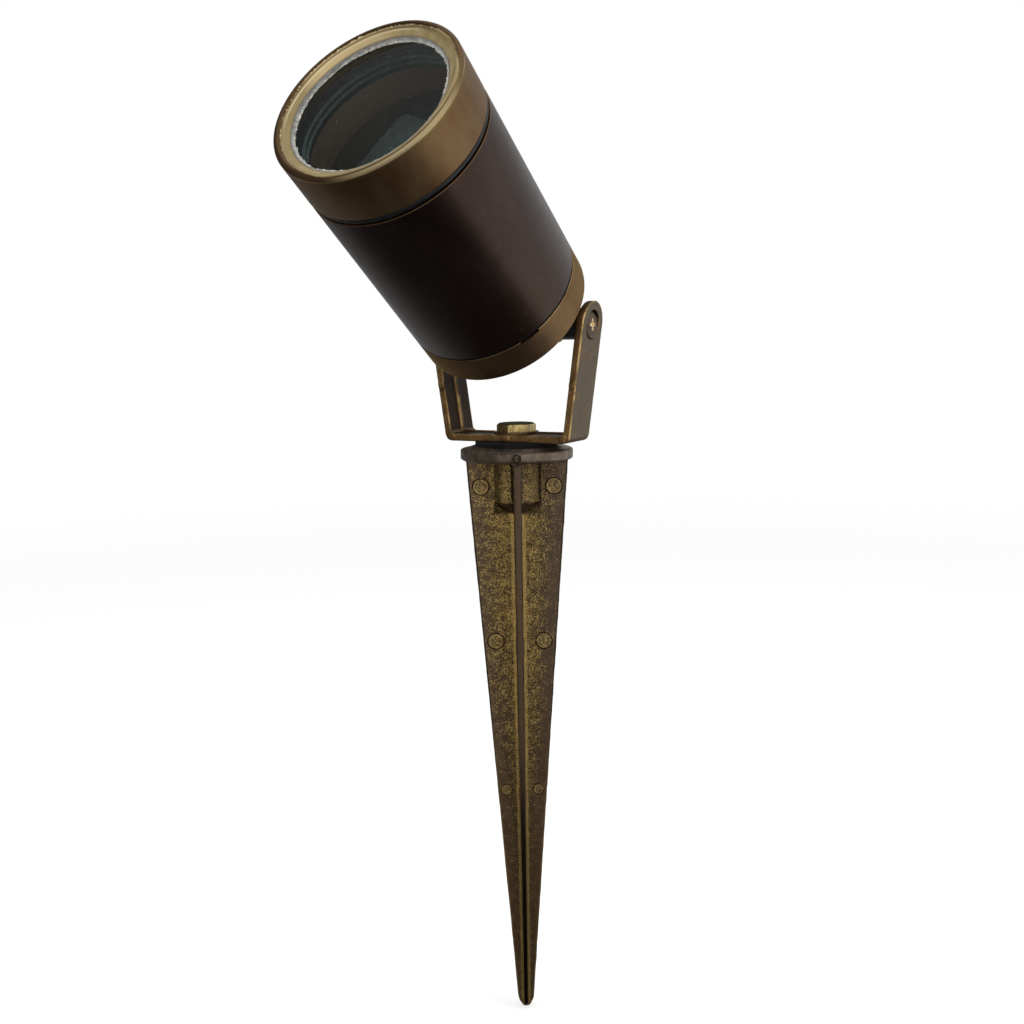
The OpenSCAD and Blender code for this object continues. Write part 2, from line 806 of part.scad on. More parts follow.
module clamp_screws() {
    length = 0.85 * clamp_depth;
    color("#b9bcbe") on_head() pair(block_len / 2) translate([0, clamp_y, clamp_z]) difference() {
        cylinder(h = length, r = clamp_screw_d / 2);
        translate([0, 0, length]) cube([clamp_screw_d + over, 0.6, 1.2], center = true);
    }
}

module earth_screw() {
    color("#b59a4c") on_head() translate([0, -earth_off, cap_floor]) difference() {
        union() {
            translate([0, 0, 0.2 - earth_depth]) cylinder(h = earth_depth, r = earth_d / 2);
            cylinder(h = earth_head_t, r = 0.9 * earth_d);
        }
        translate([0, 0, earth_head_t]) cube([2 * earth_d, 0.8, 1.6], center = true);
    }
}

// ---- Cable gland ----

module gland_body() {
    inside = 0.2;                                      // its end stays short of the cap's floor
    color("#1c1e20") on_head() difference() {
        union() {
            translate([0, 0, gland_back]) cylinder(h = gland_hex_h, r = gland_hex_r, $fn = 6);
            translate([0, 0, gland_neck_z]) cylinder(h = cap_floor - inside - gland_neck_z, r = gland_r);
        }
        translate([0, 0, gland_neck_z - over])
            cylinder(h = cap_floor - gland_neck_z + 2 * over, r = cable_d / 2 + 0.8);
        translate([0, 0, insert_z - over]) cylinder(h = insert_len + over, r = insert_r + thread_gap);
    }
}

module gland_ring() {
    color("#0f1011") on_head() translate([0, 0, gland_z]) difference() {
        cylinder(h = gland_ring_t, r = gland_af / 2);
        translate([0, 0, -over]) cylinder(h = gland_ring_t + 2 * over, r = gland_r + loose_gap);
    }
}

module gland_insert() {
    color("#262829") on_head() translate([0, 0, insert_z]) difference() {
        cylinder(h = insert_len, r = insert_r);
        translate([0, 0, -over]) cylinder(h = insert_len + 2 * over, r = cable_d / 2);
    }
}

module gland_nut() {
    mouth = cable_d / 2 + 0.5;
    top = gland_back - loose_gap;
    low = top - gland_nut_len;
    dome = [
        [0, low], [mouth + 1, low], [gland_hex_r - 1, low + 1.6], [gland_hex_r - 0.2, low + 2.8],
        [gland_hex_r + over, low + 2.8], [gland_hex_r + over, top], [0, top]
    ];
    color("#1c1e20") on_head() difference() {
        intersection() {
            translate([0, 0, low]) cylinder(h = gland_nut_len, r = gland_hex_r, $fn = 6);
            rotate_extrude() polygon(dome);
        }
        translate([0, 0, low - over]) cylinder(h = gland_nut_len + 2 * over, r = mouth);
        translate([0, 0, insert_z]) cylinder(h = gland_neck + over, r = gland_r + thread_gap);
    }
}

ground_spike();
base_gasket();
clamp_bolt();
clamp_washer();
yoke();
pivot_screws();
pivot_spacers();
rear_cap();
rear_seal();
housing();
front_seal();
glass_gasket();
bezel();
glass();
sealant();
lamp_face();
lamp_unit();
lamp_pins();
lampholder();
leads();
terminal_block();
clamp_screws();
earth_screw();
gland_body();
gland_ring();
gland_insert();
gland_nut();
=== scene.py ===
# %% [markdown]
# # A garden spike spotlight
# This lesson dresses a finished metal model of a garden spotlight in Blender. The model comes
# in as a fixed frame: each of its solids is already in its place, in metres, and rides on the
# body that it moves with. Some solids only get a better finish. Others are rebuilt with softer
# edges, threads and casting marks, and then stand in for the solid that they replace.

# %% Load the frame
import math

import bmesh
import bpy
import numpy as np
from mathutils import Matrix, Vector, noise


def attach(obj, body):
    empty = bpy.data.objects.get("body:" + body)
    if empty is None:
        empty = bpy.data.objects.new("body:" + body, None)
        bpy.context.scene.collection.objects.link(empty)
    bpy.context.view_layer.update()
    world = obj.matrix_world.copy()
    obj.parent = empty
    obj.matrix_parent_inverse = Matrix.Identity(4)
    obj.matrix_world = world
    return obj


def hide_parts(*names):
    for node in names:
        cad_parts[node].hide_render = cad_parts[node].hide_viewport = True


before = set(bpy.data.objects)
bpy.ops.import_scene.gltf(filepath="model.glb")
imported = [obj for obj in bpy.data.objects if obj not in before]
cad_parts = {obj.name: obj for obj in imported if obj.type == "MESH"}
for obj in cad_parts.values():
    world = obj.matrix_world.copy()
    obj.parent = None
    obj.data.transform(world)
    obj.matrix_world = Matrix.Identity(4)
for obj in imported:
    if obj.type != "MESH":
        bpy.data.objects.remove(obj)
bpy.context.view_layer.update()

MM = 0.001
scene = bpy.context.scene
scene.view_settings.view_transform = "Standard"

# %% [markdown]
# ## Sizes
# The lamp's head is turned on a lathe, so it is easiest to think of it standing upright: every
# station is a distance along its own axis from the tilt pivot, and every radius is a distance
# from that axis. One matrix then leans the whole head forward in its yoke. The spike's fins get
# narrower and thinner by a fixed share of each millimetre down.

# %% Sizes in millimetres
PIVOT_Z = 50.1
YOKE_TOP = 9.8
HEAD_TILT = math.radians(53.3)
SPIKE_TURN = math.radians(28.6)
HEAD_R = 32.5
CAP_Z, CAP_END, CAP_FLOOR, CAP_BORE_R, GLAND_HOLE_R = 11.2, 23.8, 15.2, 27.22, 6.1
COLLAR_R, COLLAR_END = 29.42, 29.4
TUBE_Z, TUBE_END, TUBE_BORE_R, NECK_R = 24.4, 94.0, 29.5, 30.17
BEZEL_Z, BEZEL_END = 96.3, 114.2
THREAD_R, THREAD_BORE_R, THREAD_DEPTH, THREAD_PITCH = 30.42, 30.5, 0.55, 1.5
SPIGOT_END, SKIRT_Z, COUNTERBORE_R = 103.2, 99.5, 28.95
GLASS_Z, GLASS_END, GLASS_R, POCKET_R = 105.8, 110.8, 29.2, 29.5
LIP_Z, OPENING_Z, OPENING_R = 111.1, 111.8, 27.3
FACE_Z, FACE_END, WELL_R, LEDGE_R = 86.4, 88.9, 28.4, 26.5
FIN_REACH, FIN_NARROWS = 19.6, 0.0755
FIN_HALF, FIN_THINS = 1.5, 0.00186

HEAD = Matrix.Translation((0, 0, PIVOT_Z * MM)) @ Matrix.Rotation(HEAD_TILT, 4, "X")
head_front = HEAD @ Vector((0, 0, BEZEL_END * MM))
print("front of the head:", [round(v, 4) for v in head_front])

# %% [markdown]
# ## Camera
# The camera stands close and a little above the flange, and looks slightly down. Its turn is
# worked out in the spike's own directions first, because the spike's cross makes a good
# compass, and is then turned with the spike.

# %% Camera
FRAME_PX, FOCAL_PX = 1024, 1158.95
CAMERA_BACK, CAMERA_HIGH = 0.4422, 0.04717


def place_object(name, data):
    """An object that shows this data, linked into the scene."""
    thing = bpy.data.objects.new(name, data)
    scene.collection.objects.link(thing)
    return thing


yaw, pitch, roll = (math.radians(a) for a in (-0.290, 8.721, -1.040))
ahead = Vector((math.sin(yaw) * math.cos(pitch), math.cos(yaw) * math.cos(pitch), -math.sin(pitch)))
level = Vector((math.cos(yaw), -math.sin(yaw), 0))
rise = level.cross(ahead)
side = math.cos(roll) * level + math.sin(roll) * rise
up = -math.sin(roll) * level + math.cos(roll) * rise

camera_data = bpy.data.cameras.new("camera")
camera_data.sensor_width = 36
camera_data.lens = camera_data.sensor_width * FOCAL_PX / FRAME_PX
camera = place_object("camera", camera_data)
turned = Matrix((side, up, -ahead)).transposed().to_4x4()
turned.translation = (0, -CAMERA_BACK, CAMERA_HIGH)
camera.matrix_world = Matrix.Rotation(SPIKE_TURN, 4, "Z") @ turned
scene.camera = camera
print("camera at", [round(v, 3) for v in camera.matrix_world.translation])

# %% [markdown]
# ## Building node trees
# Materials and Geometry Nodes are both node trees, so one helper adds a node to either: it sets
# the node's own settings first and then its sockets, from plain values or from other nodes.

# %% One helper for every node
def add_node(tree, kind, inputs=None, **settings):
    """Adds a node, sets what it is, and fills its sockets by name or number.

    A socket takes a plain value or another socket, and a node stands for its first output."""
    node = tree.nodes.new(kind)
    for key, value in settings.items():
        setattr(node, key, value)
    for key, value in (inputs or {}).items():
        if isinstance(value, bpy.types.Node):
            value = value.outputs[0]
        value = getattr(value, "socket", value)
        if isinstance(value, bpy.types.NodeSocket):
            tree.links.new(value, node.inputs[key])
        else:
            node.inputs[key].default_value = value
    return node


print("node helper ready")

# %% [markdown]
# ## Shader maths as expressions
# A worn metal finish is mostly arithmetic: masks that are multiplied, added and softened. Written
# as Math nodes that is hard to read, so a small class wraps a socket and turns ordinary + - * /
# into those nodes. The reflected forms make 1 - mask work as well.

# %% Shader maths
class Amount:
    """A number socket in a material. Arithmetic on it adds Math nodes."""

    def __init__(self, tree, socket):
        self.tree = tree
        self.socket = socket

    def math(self, operation, *values):
        node = add_node(self.tree, "ShaderNodeMath", dict(enumerate(values)), operation=operation)
        return Amount(self.tree, node.outputs[0])

    def __add__(self, other):
        return self.math("ADD", self, other)

    def __sub__(self, other):
        return self.math("SUBTRACT", self, other)

    def __rsub__(self, other):
        return self.math("SUBTRACT", other, self)

    def __mul__(self, other):
        return self.math("MULTIPLY", self, other)

    def __truediv__(self, other):
        return self.math("DIVIDE", self, other)

    def __pow__(self, other):
        return self.math("POWER", self, other)

    __radd__, __rmul__ = __add__, __mul__

    def most(self, *others):
        """The greatest of this amount and the others."""
        greatest = self
        for other in others:
            greatest = self.math("MAXIMUM", greatest, other)
        return greatest

    def least(self, other):
        return self.math("MINIMUM", self, other)

    def away(self):
        """How far it is from 0, whichever its sign."""
        return self.math("ABSOLUTE", self)

    def step(self, low, high):
        """0 below low, 1 above high, smooth between. With low above high it falls instead."""
        turn = low > high
        a, b = (high, low) if turn else (low, high)
        node = add_node(self.tree, "ShaderNodeMapRange", {"Value": self, "From Min": a, "From Max": b},
                        interpolation_type="SMOOTHSTEP")
        risen = Amount(self.tree, node.outputs[0])
        return 1 - risen if turn else risen

    def near(self, value, outer, inner):
        """1 closer to this value than inner, 0 further off than outer, smooth between."""
        return (self - value).away().step(outer, inner)


print("shader maths ready")

# %% [markdown]
# ## A finish and its layers
# Every finish of the lamp is one Principled shader, and its colour is built like the real thing:
# a first colour with thin layers over it, each laid only where its mask is 1. This class holds
# the shader, the places that patterns are laid out on, and the few steps that all finishes share.

# %% Finish
class Finish:
    """A procedural material. Patterns are laid out in millimetres on Object coordinates."""

    def __init__(self, name, metallic=0.0, specular=0.5, lacquer=0.0):
        self.material = bpy.data.materials.new(name)
        self.material.use_nodes = True
        self.tree = self.material.node_tree
        self.shader = self.tree.nodes["Principled BSDF"]
        self.shader.inputs["Metallic"].default_value = metallic
        self.shader.inputs["Specular IOR Level"].default_value = specular
        self.shader.inputs["Coat Weight"].default_value = lacquer
        self.shader.inputs["Coat Roughness"].default_value = 0.22
        self.place = add_node(self.tree, "ShaderNodeTexCoord").outputs["Object"]

    def amount(self, node, output=0):
        return Amount(self.tree, node.outputs[output])

    def lay(self, turn=(0, 0, 0), shift=(0, 0, 0), stretch=(1, 1, 1)):
        """Object coordinates turned, shifted in metres and stretched."""
        return add_node(self.tree, "ShaderNodeMapping", {
            "Vector": self.place, "Rotation": turn, "Location": shift, "Scale": stretch}).outputs[0]

    def lay_on_head(self, stretch=(1, 1, 1)):
        """Coordinates of the upright head, from the leaning one."""
        back = Matrix.Rotation(-HEAD_TILT, 3, "X") @ Vector((0, 0, -PIVOT_Z * MM))
        straight = self.lay((-HEAD_TILT, 0, 0), back)
        return add_node(self.tree, "ShaderNodeVectorMath", {0: straight, 1: stretch},
                        operation="MULTIPLY").outputs[0]

    def in_mm(self, vector=None):
        """The x, y and z of a place, in millimetres."""
        node = add_node(self.tree, "ShaderNodeSeparateXYZ", {0: vector or self.place})
        return [self.amount(node, i) * 1000 for i in range(3)]

    def on_head(self):
        """The radius and the height of a place on the upright head, in millimetres."""
        x, y, z = self.in_mm(self.lay_on_head())
        return (x * x + y * y) ** 0.5, z

    def off_tilt_axis(self):
        """How far a place is from the axis that the head tilts on, in millimetres."""
        _, y, z = self.in_mm()
        return (y * y + (z - PIVOT_Z) * (z - PIVOT_Z)) ** 0.5

    def grain(self, size_mm, detail=3.0, rough=0.55, vector=None, warp=0.0):
        """Noise between 0 and 1 whose lumps are about size_mm across."""
        return self.amount(add_node(self.tree, "ShaderNodeTexNoise", {
            "Vector": vector or self.place, "Scale": 1 / (size_mm * MM), "Detail": detail,
            "Roughness": rough, "Distortion": warp}))

    def attribute(self, name):
        return self.amount(add_node(self.tree, "ShaderNodeAttribute", attribute_name=name), "Fac")

    def mix(self, mask, first, second):
        """The first colour where mask is 0 and the second where it is 1."""
        colours = [c if hasattr(c, "links") else (*c, 1) for c in (first, second)]
        node = add_node(self.tree, "ShaderNodeMix", {0: mask, 6: colours[0], 7: colours[1]},
                        data_type="RGBA", clamp_factor=True)
        return node.outputs[2]

    def layers(self, colour, *coats):
        """A first colour with others over it, each given as a mask and its colour."""
        for mask, over in coats:
            colour = self.mix(mask, colour, over)
        return colour

    def dull(self, mask, colour):
        """Lays a dull film over the finish where mask is 1."""
        film = add_node(self.tree, "ShaderNodeBsdfDiffuse", {"Color": (*colour, 1), "Roughness": 0.9})
        both = add_node(self.tree, "ShaderNodeMixShader", {0: mask, 1: self.shader, 2: film})
        self.tree.links.new(both.outputs[0], self.tree.nodes["Material Output"].inputs["Surface"])

    def coat(self, colour, rough, metallic=None, bumps=()):
        """Plugs the finish into the shader. Each bump is a height and its depth in millimetres."""
        for name, value in (("Base Color", colour), ("Roughness", rough), ("Metallic", metallic)):
            if value is not None:
                self.tree.links.new(getattr(value, "socket", value), self.shader.inputs[name])
        normal = None
        for height, depth_mm in bumps:
            inputs = {"Height": height, "Distance": depth_mm * MM, "Strength": 1.0}
            if normal is not None:
                inputs["Normal"] = normal
            normal = add_node(self.tree, "ShaderNodeBump", inputs).outputs[0]
        if normal is not None:
            self.tree.links.new(normal, self.shader.inputs["Normal"])
        return self.material


print("finish helper ready")

# %% [markdown]
# ## Patinated brass
# The whole lamp is brass under a dark chemical patina. Where hands, tools and the caster's
# tumbling have rubbed it, the patina is thin and the yellow metal shows, mostly on edges and in
# fine specks. So each finish is one dark colour, one brass colour and a mask between them. The
# metal is fairly smooth, and what makes it look satin is its uneven roughness. The bezel and the
# rear cap come off the same lathe, so they share a start: noise that is stretched almost flat
# round the axis makes the lathe's fine rings.

# %% Turned bronze
BRASS = (0.62, 0.44, 0.19)
LATHE_MARKS = (0.02, 0.02, 1)


def turned_bronze(name, base, dark, crest, spread):
    """Turned and patinated brass, worn in a thin line round the edge at this radius and height."""
    finish = Finish(name, metallic=1.0)
    radius, along = finish.on_head()
    clouds = finish.grain(14, 4, 0.6, finish.lay_on_head((1, 1, 0.6)))
    fine = finish.grain(1.6, 4, 0.6)
    specks = finish.grain(0.45, 2, 0.5).step(0.68, 0.75) * finish.grain(5, 2).step(0.45, 0.62)
    rings = finish.grain(0.35, 2, 0.5, finish.lay_on_head(LATHE_MARKS))
    off_crest = ((radius - crest[0]) ** 2 + (along - crest[1]) ** 2) ** 0.5
    crest_line = off_crest.step(spread, 0.3 * spread) * finish.grain(9, 3, 0.6).step(0.30, 0.60)
    worn = (crest_line * 0.75 + 0.5 * specks).least(1.0)
    colour = finish.layers(finish.mix(clouds.step(0.35, 0.72), dark, base), (worn * 0.85, BRASS))
    rough = 0.33 + 0.14 * clouds + 0.08 * fine - 0.08 * worn
    return finish, colour, rough, (rings, fine, radius, along)


finish, colour, rough, (rings, fine, radius, along) = turned_bronze(
    "bezel_bronze", (0.222, 0.141, 0.071), (0.165, 0.092, 0.040), (HEAD_R, 112.65), 0.42)
print("bezel's finish started")

# %% [markdown]
# The bezel is the piece that hands touch. On its front the brown patina ends in a ragged, chipped
# line, and inside that line the bare slope leads down to the glass. How far the patina reaches
# changes round the ring: it is narrow on the low side, where fingers unscrew the bezel, and widest
# on the left. So a small function gives a mask for any side, and the masks come first.

# %% Where the bezel is worn
across, over, _ = finish.in_mm(finish.lay_on_head())


def towards(degrees, start, full):
    """A mask for the side at this angle, counted from +X towards the ground.

    Straight at that side the direction counts 1, and square to it 0."""
    turn = math.radians(degrees)
    return ((across * math.cos(turn) - over * math.sin(turn)) / radius).step(start, full)


WORN_R = 30.20
low_side = towards(45, 0.25, 0.72)
far_side = towards(228, 0.25, 0.80)
inside = along.step(111.3, 111.7)
ragged = radius - 0.05 - 1.35 * low_side - 0.5 * towards(330, 0.80, 0.97) + 0.45 * towards(160, 0.70, 0.97)
ragged = ragged + (0.9 - 0.4 * low_side) * (finish.grain(1.1, 4, 0.7) - 0.5)
slope = ragged.step(WORN_R + 0.05, WORN_R - 0.15) * inside
chips = ragged.near(WORN_R, 0.25, 0.08) * finish.grain(0.8, 3, 0.6).step(0.56, 0.62)
chips = chips * along.step(112.6, 112.9) * (1 - low_side)
tracks = finish.grain(0.30, 2, 0.5, finish.lay_on_head(LATHE_MARKS))
# Painted highlight: a bright arc on the crest of the rim, on the low side only, where it catches the light.
rim_highlight = radius.step(31.75, 32.0) * along.step(112.5, 112.9) * towards(45, 0.60, 0.95)
rim_highlight = rim_highlight * (0.75 + 0.25 * fine)
print("the patina ends about radius", WORN_R)

# %% [markdown]
# The slope is pale metal with browner tracks of the tool. It is painted darker to the left as shade, is
# greyer on the low side, and has a painted highlight on the far side, where a painted bright streak and
# painted dark streaks of reflection run round it. Each layer below is one of these, from the first to the
# last that went on.

# %% Bezel
pale = finish.layers(
    finish.mix(finish.grain(3.5, 3).step(0.3, 0.7), (0.47, 0.375, 0.20), (0.38, 0.285, 0.130)),
    (tracks.step(0.46, 0.60) * radius.step(28.7, 29.3) * 0.6, (0.23, 0.155, 0.062)),
    (towards(165, 0.62, 0.97) * 0.75, (0.25, 0.185, 0.078)),
    (towards(235, 0.75, 0.98) * 0.8, (0.72, 0.55, 0.29)),
    (towards(50, 0.80, 0.97) * fine.step(0.3, 0.6) * 0.6, (0.33, 0.33, 0.30)),
    (far_side * radius.near(29.15, 0.32, 0.10) * 0.55, (0.88, 0.74, 0.46)),
    (towards(240, 0.30, 0.75) * radius.near(29.72, 0.30, 0.14) * 0.62, (0.10, 0.062, 0.020)),
    (far_side * radius.step(27.85, 27.5) * 0.6, (0.17, 0.14, 0.10)))
colour = finish.layers(
    colour,
    # painted shade: the patina on the front is darker towards the far side
    (towards(215, 0.1, 0.6) * inside * 0.55, (0.080, 0.048, 0.020)),
    (slope, pale),
    (chips, (0.95, 0.80, 0.50)),
    # painted shade: a darker brown band on the low side, just inside the painted rim highlight
    (radius.step(31.0, 31.4) * low_side * inside * 0.6, (0.19, 0.130, 0.055)),
    (rim_highlight * 0.8, (0.50, 0.40, 0.22)))
BEZEL_BRONZE = finish.coat(
    colour, rough + 0.05 + 0.04 * slope - 0.08 * rim_highlight, 1 - 0.45 * slope.most(rim_highlight),
    [(rings, 0.014), (fine, 0.02)])
print("bezel's finish:", BEZEL_BRONZE.name)

# %% [markdown]
# The rear cap has the same brown. Its end face, where it meets the tube, is painted almost black: painted
# shade in the gap between them. At a grazing angle any metal reflects white, which would turn the cap's
# underside grey. Old bronze stays brown there, so the shader's Specular Tint is a warm one.

# %% Rear cap's finish
finish, colour, rough, (rings, fine, radius, along) = turned_bronze(
    "cap_bronze", (0.215, 0.143, 0.080), (0.150, 0.092, 0.047), (32.45, 23.62), 0.20)
# painted shade: the end face that meets the tube is almost black
colour = finish.layers(colour, (along.step(CAP_END - 0.14, CAP_END - 0.06), (0.012, 0.009, 0.006)))
finish.shader.inputs["Specular Tint"].default_value = (0.93, 0.76, 0.56, 1)
CAP_BRONZE = finish.coat(colour, rough, bumps=[(rings, 0.012), (fine, 0.03)])
print("cap's finish:", CAP_BRONZE.name)

# %% [markdown]
# The long tube has the deepest patina: almost black, with a purple-brown cast where light
# catches it. Its clouds are long and faint. Inside, in the light well, the same metal is duller
# and browner, because nothing polishes it there.

# %% Dark tube
finish = Finish("housing_dark", metallic=1.0, lacquer=0.12)
radius, along = finish.on_head()
clouds = finish.grain(26, 5, 0.6, finish.lay_on_head((1, 1, 0.45)), 0.4)
mottle = finish.grain(3.2, 4, 0.65)
smears = finish.grain(5, 4, 0.7, finish.lay_on_head((1, 1, 0.35)), 1.5).step(0.55, 0.75) * along.step(45, 90)
specks = finish.grain(0.5, 2, 0.5).step(0.68, 0.76) * clouds.step(0.5, 0.66)
warm = along.step(66, 28) * (0.3 + 0.7 * clouds.step(0.38, 0.60))
front_edge = along.step(TUBE_END - 0.3, TUBE_END - 0.1)
# painted shade: the tube's rear end, in the gap by the cap, is almost black
gap_shade = along.step(TUBE_Z + 0.55, TUBE_Z + 0.35)
inside = radius.step(29.3, 28.9)
well = finish.mix(finish.grain(0.8, 1, 0.5).step(0.72, 0.76), (0.43, 0.265, 0.185), (0.9, 0.75, 0.5))
colour = finish.layers(
    finish.mix(clouds.step(0.3, 0.7), (0.038, 0.023, 0.018), (0.064, 0.041, 0.035)),
    (warm * 0.8, (0.040, 0.019, 0.011)),
    (mottle.step(0.55, 0.8) * 0.35 + smears * 0.25, (0.085, 0.068, 0.062)),
    (specks * 0.6, BRASS),
    (front_edge * (0.10 + 0.45 * clouds), (0.50, 0.28, 0.12)),
    (gap_shade, (0.004, 0.003, 0.002)),
    (inside, well))
rough = 0.25 + 0.13 * clouds + 0.10 * mottle + 0.12 * smears + 0.22 * inside
HOUSING_DARK = finish.coat(colour, rough, bumps=[(mottle, 0.02)])
print("tube's finish:", HOUSING_DARK.name)

# %% [markdown]
# The yoke is a brushed casting: its broad outer faces carry fine scratches along the arms, its inner faces,
# which face the head, are painted dark as shade and lighter low down, its front is tan, and every edge is
# rubbed bright. Attributes that are measured on the mesh further down tell these places apart: edge is high
# where the surface bends outwards, outer, inner and front are 1 on those faces, and pad numbers the rings of
# a round mark.

# %% Brushed yoke
# A pad's bright rim is partly rubbed brass and partly a painted highlight of its edge, and the line round it
# is painted shade.
DISC, BRIGHT_RIM, PLAIN, SHADE_LINE = 1.0, 0.8, 0.55, 0.3      # what the attribute pad holds
finish = Finish("yoke_bronze", metallic=1.0)
brushed = finish.grain(0.35, 3, 0.6, finish.lay(stretch=(1, 1, 0.03)))
clouds = finish.grain(7, 4, 0.6)
pits = finish.grain(0.7, 3, 0.6)
edge, outer, inner, front, pad = [
    finish.attribute(name) for name in ("edge", "outer", "inner", "front", "pad")]
_, _, height = finish.in_mm()
screw_seat = finish.off_tilt_axis().step(6.4, 5.9)
grey = finish.mix(brushed.step(0.3, 0.7), (0.108, 0.085, 0.057), (0.172, 0.136, 0.092))
# painted shade: the inner faces, which face the head, are almost black, and lighter towards the bottom
shade = finish.layers(
    finish.mix(brushed.step(0.35, 0.65), (0.009, 0.0055, 0.0035), (0.024, 0.015, 0.009)),
    (height.step(34, 12) * 0.6, (0.040, 0.023, 0.011)))
tan = finish.mix(pits.step(0.35, 0.65), (0.34, 0.185, 0.075), (0.56, 0.335, 0.145))
worn = edge.step(0.16, 0.55) * (0.15 + 0.95 * clouds.step(0.40, 0.60)) + 0.2 * pits.step(0.66, 0.75)
worn = worn.least(1.0)
colour = finish.layers(
    finish.mix(clouds.step(0.3, 0.7), (0.140, 0.086, 0.042), (0.235, 0.145, 0.073)),
    (outer * (1 - 0.55 * clouds.step(0.52, 0.66)), grey),
    (inner, shade),
    (front * (0.6 + 0.4 * clouds.step(0.35, 0.6)), tan),
    (worn * (0.85 - 0.75 * screw_seat - 0.4 * inner), (0.74, 0.50, 0.20)),
    # painted highlight and rubbed brass on the rims of the marks, painted shade in the line round them
    (pad.near(BRIGHT_RIM, 0.09, 0.03) * 0.5, (0.55, 0.36, 0.15)),
    (pad.near(SHADE_LINE, 0.25, 0.10) * 0.8, (0.03, 0.02, 0.012)))
rough = 0.40 + 0.14 * clouds + 0.10 * brushed - 0.12 * worn
YOKE_BRONZE = finish.coat(colour, rough, bumps=[(brushed * (outer + inner), 0.02), (pits, 0.035)])
print("yoke's finish:", YOKE_BRONZE.name)

# %% [markdown]
# ## The spike's sandy skin
# The spike is left as it came out of the sand: a grainy skin with painted shade in its hollows and brass on
# its grains. The brass is strongest near the flange and along the roots of the fins, where tumbling stones
# reach, and fades towards the tip, which has turned brown in the soil.
# First come the places on the casting, measured along and across its fins: the flange, the ends
# and crests of the fins, the line along their roots, the boss under the flange, and the hollows.

# %% Places on the spike
FIN_ROOT, BOSS_R, BOSS_CONE_TOP, BOSS_END = 2.8, 9.3, -16.1, -21.1
finish = Finish("cast_brown", metallic=1.0)
u, v, depth = finish.in_mm(finish.lay(turn=(0, 0, -SPIKE_TURN)))
from_axis = (u * u + v * v) ** 0.5
reach = u.away().most(v.away())
outwards = reach / (FIN_REACH + depth * FIN_NARROWS)
left = u.step(0.4, -0.4)
low, lower = depth.step(-20, -215), depth.step(-90, -165)
flange = depth.step(-1.0, 0.2)
fin_end = outwards.step(0.955, 0.975) * (1 - flange)
off_crest = u.away().least(v.away()) - (1.35 + 0.0028 * depth)
crest = fin_end * off_crest.step(0.15, -0.15)
crest_corner = fin_end * off_crest.step(-0.30, -0.05) * depth.step(-140, -90)
root_line = (reach + 0.9 * low).step(FIN_ROOT + 0.4, FIN_ROOT - 0.4) * depth.step(-19, -23)
boss_cone = depth.step(BOSS_END - 0.5, BOSS_END + 0.5) * depth.step(BOSS_CONE_TOP + 0.5, BOSS_CONE_TOP - 0.5)
boss_cone = boss_cone * from_axis.step(BOSS_R + 0.3, BOSS_R - 0.3)
boss_side = u.away().step(3.8, 7.5) * from_axis.step(BOSS_R - 0.1, BOSS_R - 0.5) * depth.step(-18, -16)
hollow = finish.attribute("hollow").step(0.10, 0.40) * depth.step(-22, -20)
# painted shade: the hollows, the cone and sides of the boss, and the corners beside the fins' crests are
# painted almost black
shaded = hollow.most(boss_cone * 0.8, boss_side * (0.45 + 0.3 * left), crest_corner * 0.85)
pad = finish.attribute("pad")
disc = pad.step(DISC - 0.1, DISC)
# painted highlight and brass on the pads' rims, painted shade in the line round them
ring, pad_shade = pad.near(BRIGHT_RIM, 0.09, 0.03), pad.near(SHADE_LINE, 0.25, 0.10)
print("the fins reach", FIN_REACH, "mm from the axis at the flange")

# %% [markdown]
# Then the grains. A grain turns to brass where the sum of fine sand and wider lumps passes a limit, and a
# denser place brings more of them over it. The bright grains are partly bare brass and partly painted glints
# of light on the sand. The root line, the pads and their rings are gilded as well, more or less from grain
# to grain.

# %% Grains of brass
SAND_MM = 0.46
sand = finish.grain(SAND_MM, 2, 0.6)
grit = finish.grain(0.3, 2, 0.6)
lumps = finish.grain(2.6, 4, 0.65)
clouds = finish.grain(16, 3, 0.6, finish.lay(stretch=(1, 1, 0.4)))
middle = outwards.step(0.98, 0.25) * (0.65 + 1.1 * (clouds - 0.3)).least(1.25)
# painted glints: more bright grains on the left side, where the light falls
left_glint_strip = 0.35 * left * outwards.step(0.3, 0.7) * depth.step(-130, -70)
dense = (middle * (1 - 0.5 * lower) + left_glint_strip) * (1 - flange)
# the bright grains are partly bare brass and partly painted glints
speck = (0.72 * sand + 0.28 * lumps + 0.132 * dense).step(0.600, 0.650)
speck = speck * (0.10 + 0.90 * outwards.step(1.0, 0.93)) * (1 - 0.7 * flange) * (1 - 0.5 * lower)
gilded = speck * (1 - 0.30 * low) + root_line * (0.45 + 0.55 * grit) * (1 - 0.4 * low)
gilded = gilded + (fin_end - crest) * low * (0.1 + 0.3 * grit)
gilded = gilded + disc * (0.05 + 0.7 * sand.step(0.46, 0.56) * grit) + ring * (0.35 + 0.5 * grit)
gilded = gilded.least(1.0)
brass = finish.mix(grit.step(0.40, 0.62), (0.34, 0.19, 0.035), (1.0, 0.74, 0.27))
print("the sand's grains are about", SAND_MM, "mm")

# %% [markdown]
# Last the patina: brown in soft clouds, redder towards the tip, almost black on the crests of the fins near
# the tip, and grey-brown on the flange; on the left side, where the light falls, it is painted lighter. It
# is only about half a metal, because a patina is a matt salt. The painted shade in the hollows, on the sides
# and cone of the boss, beside the crests and in the lines round the pads is almost black and fully a metal,
# which leaves no matt share in it for the lamps to brighten.

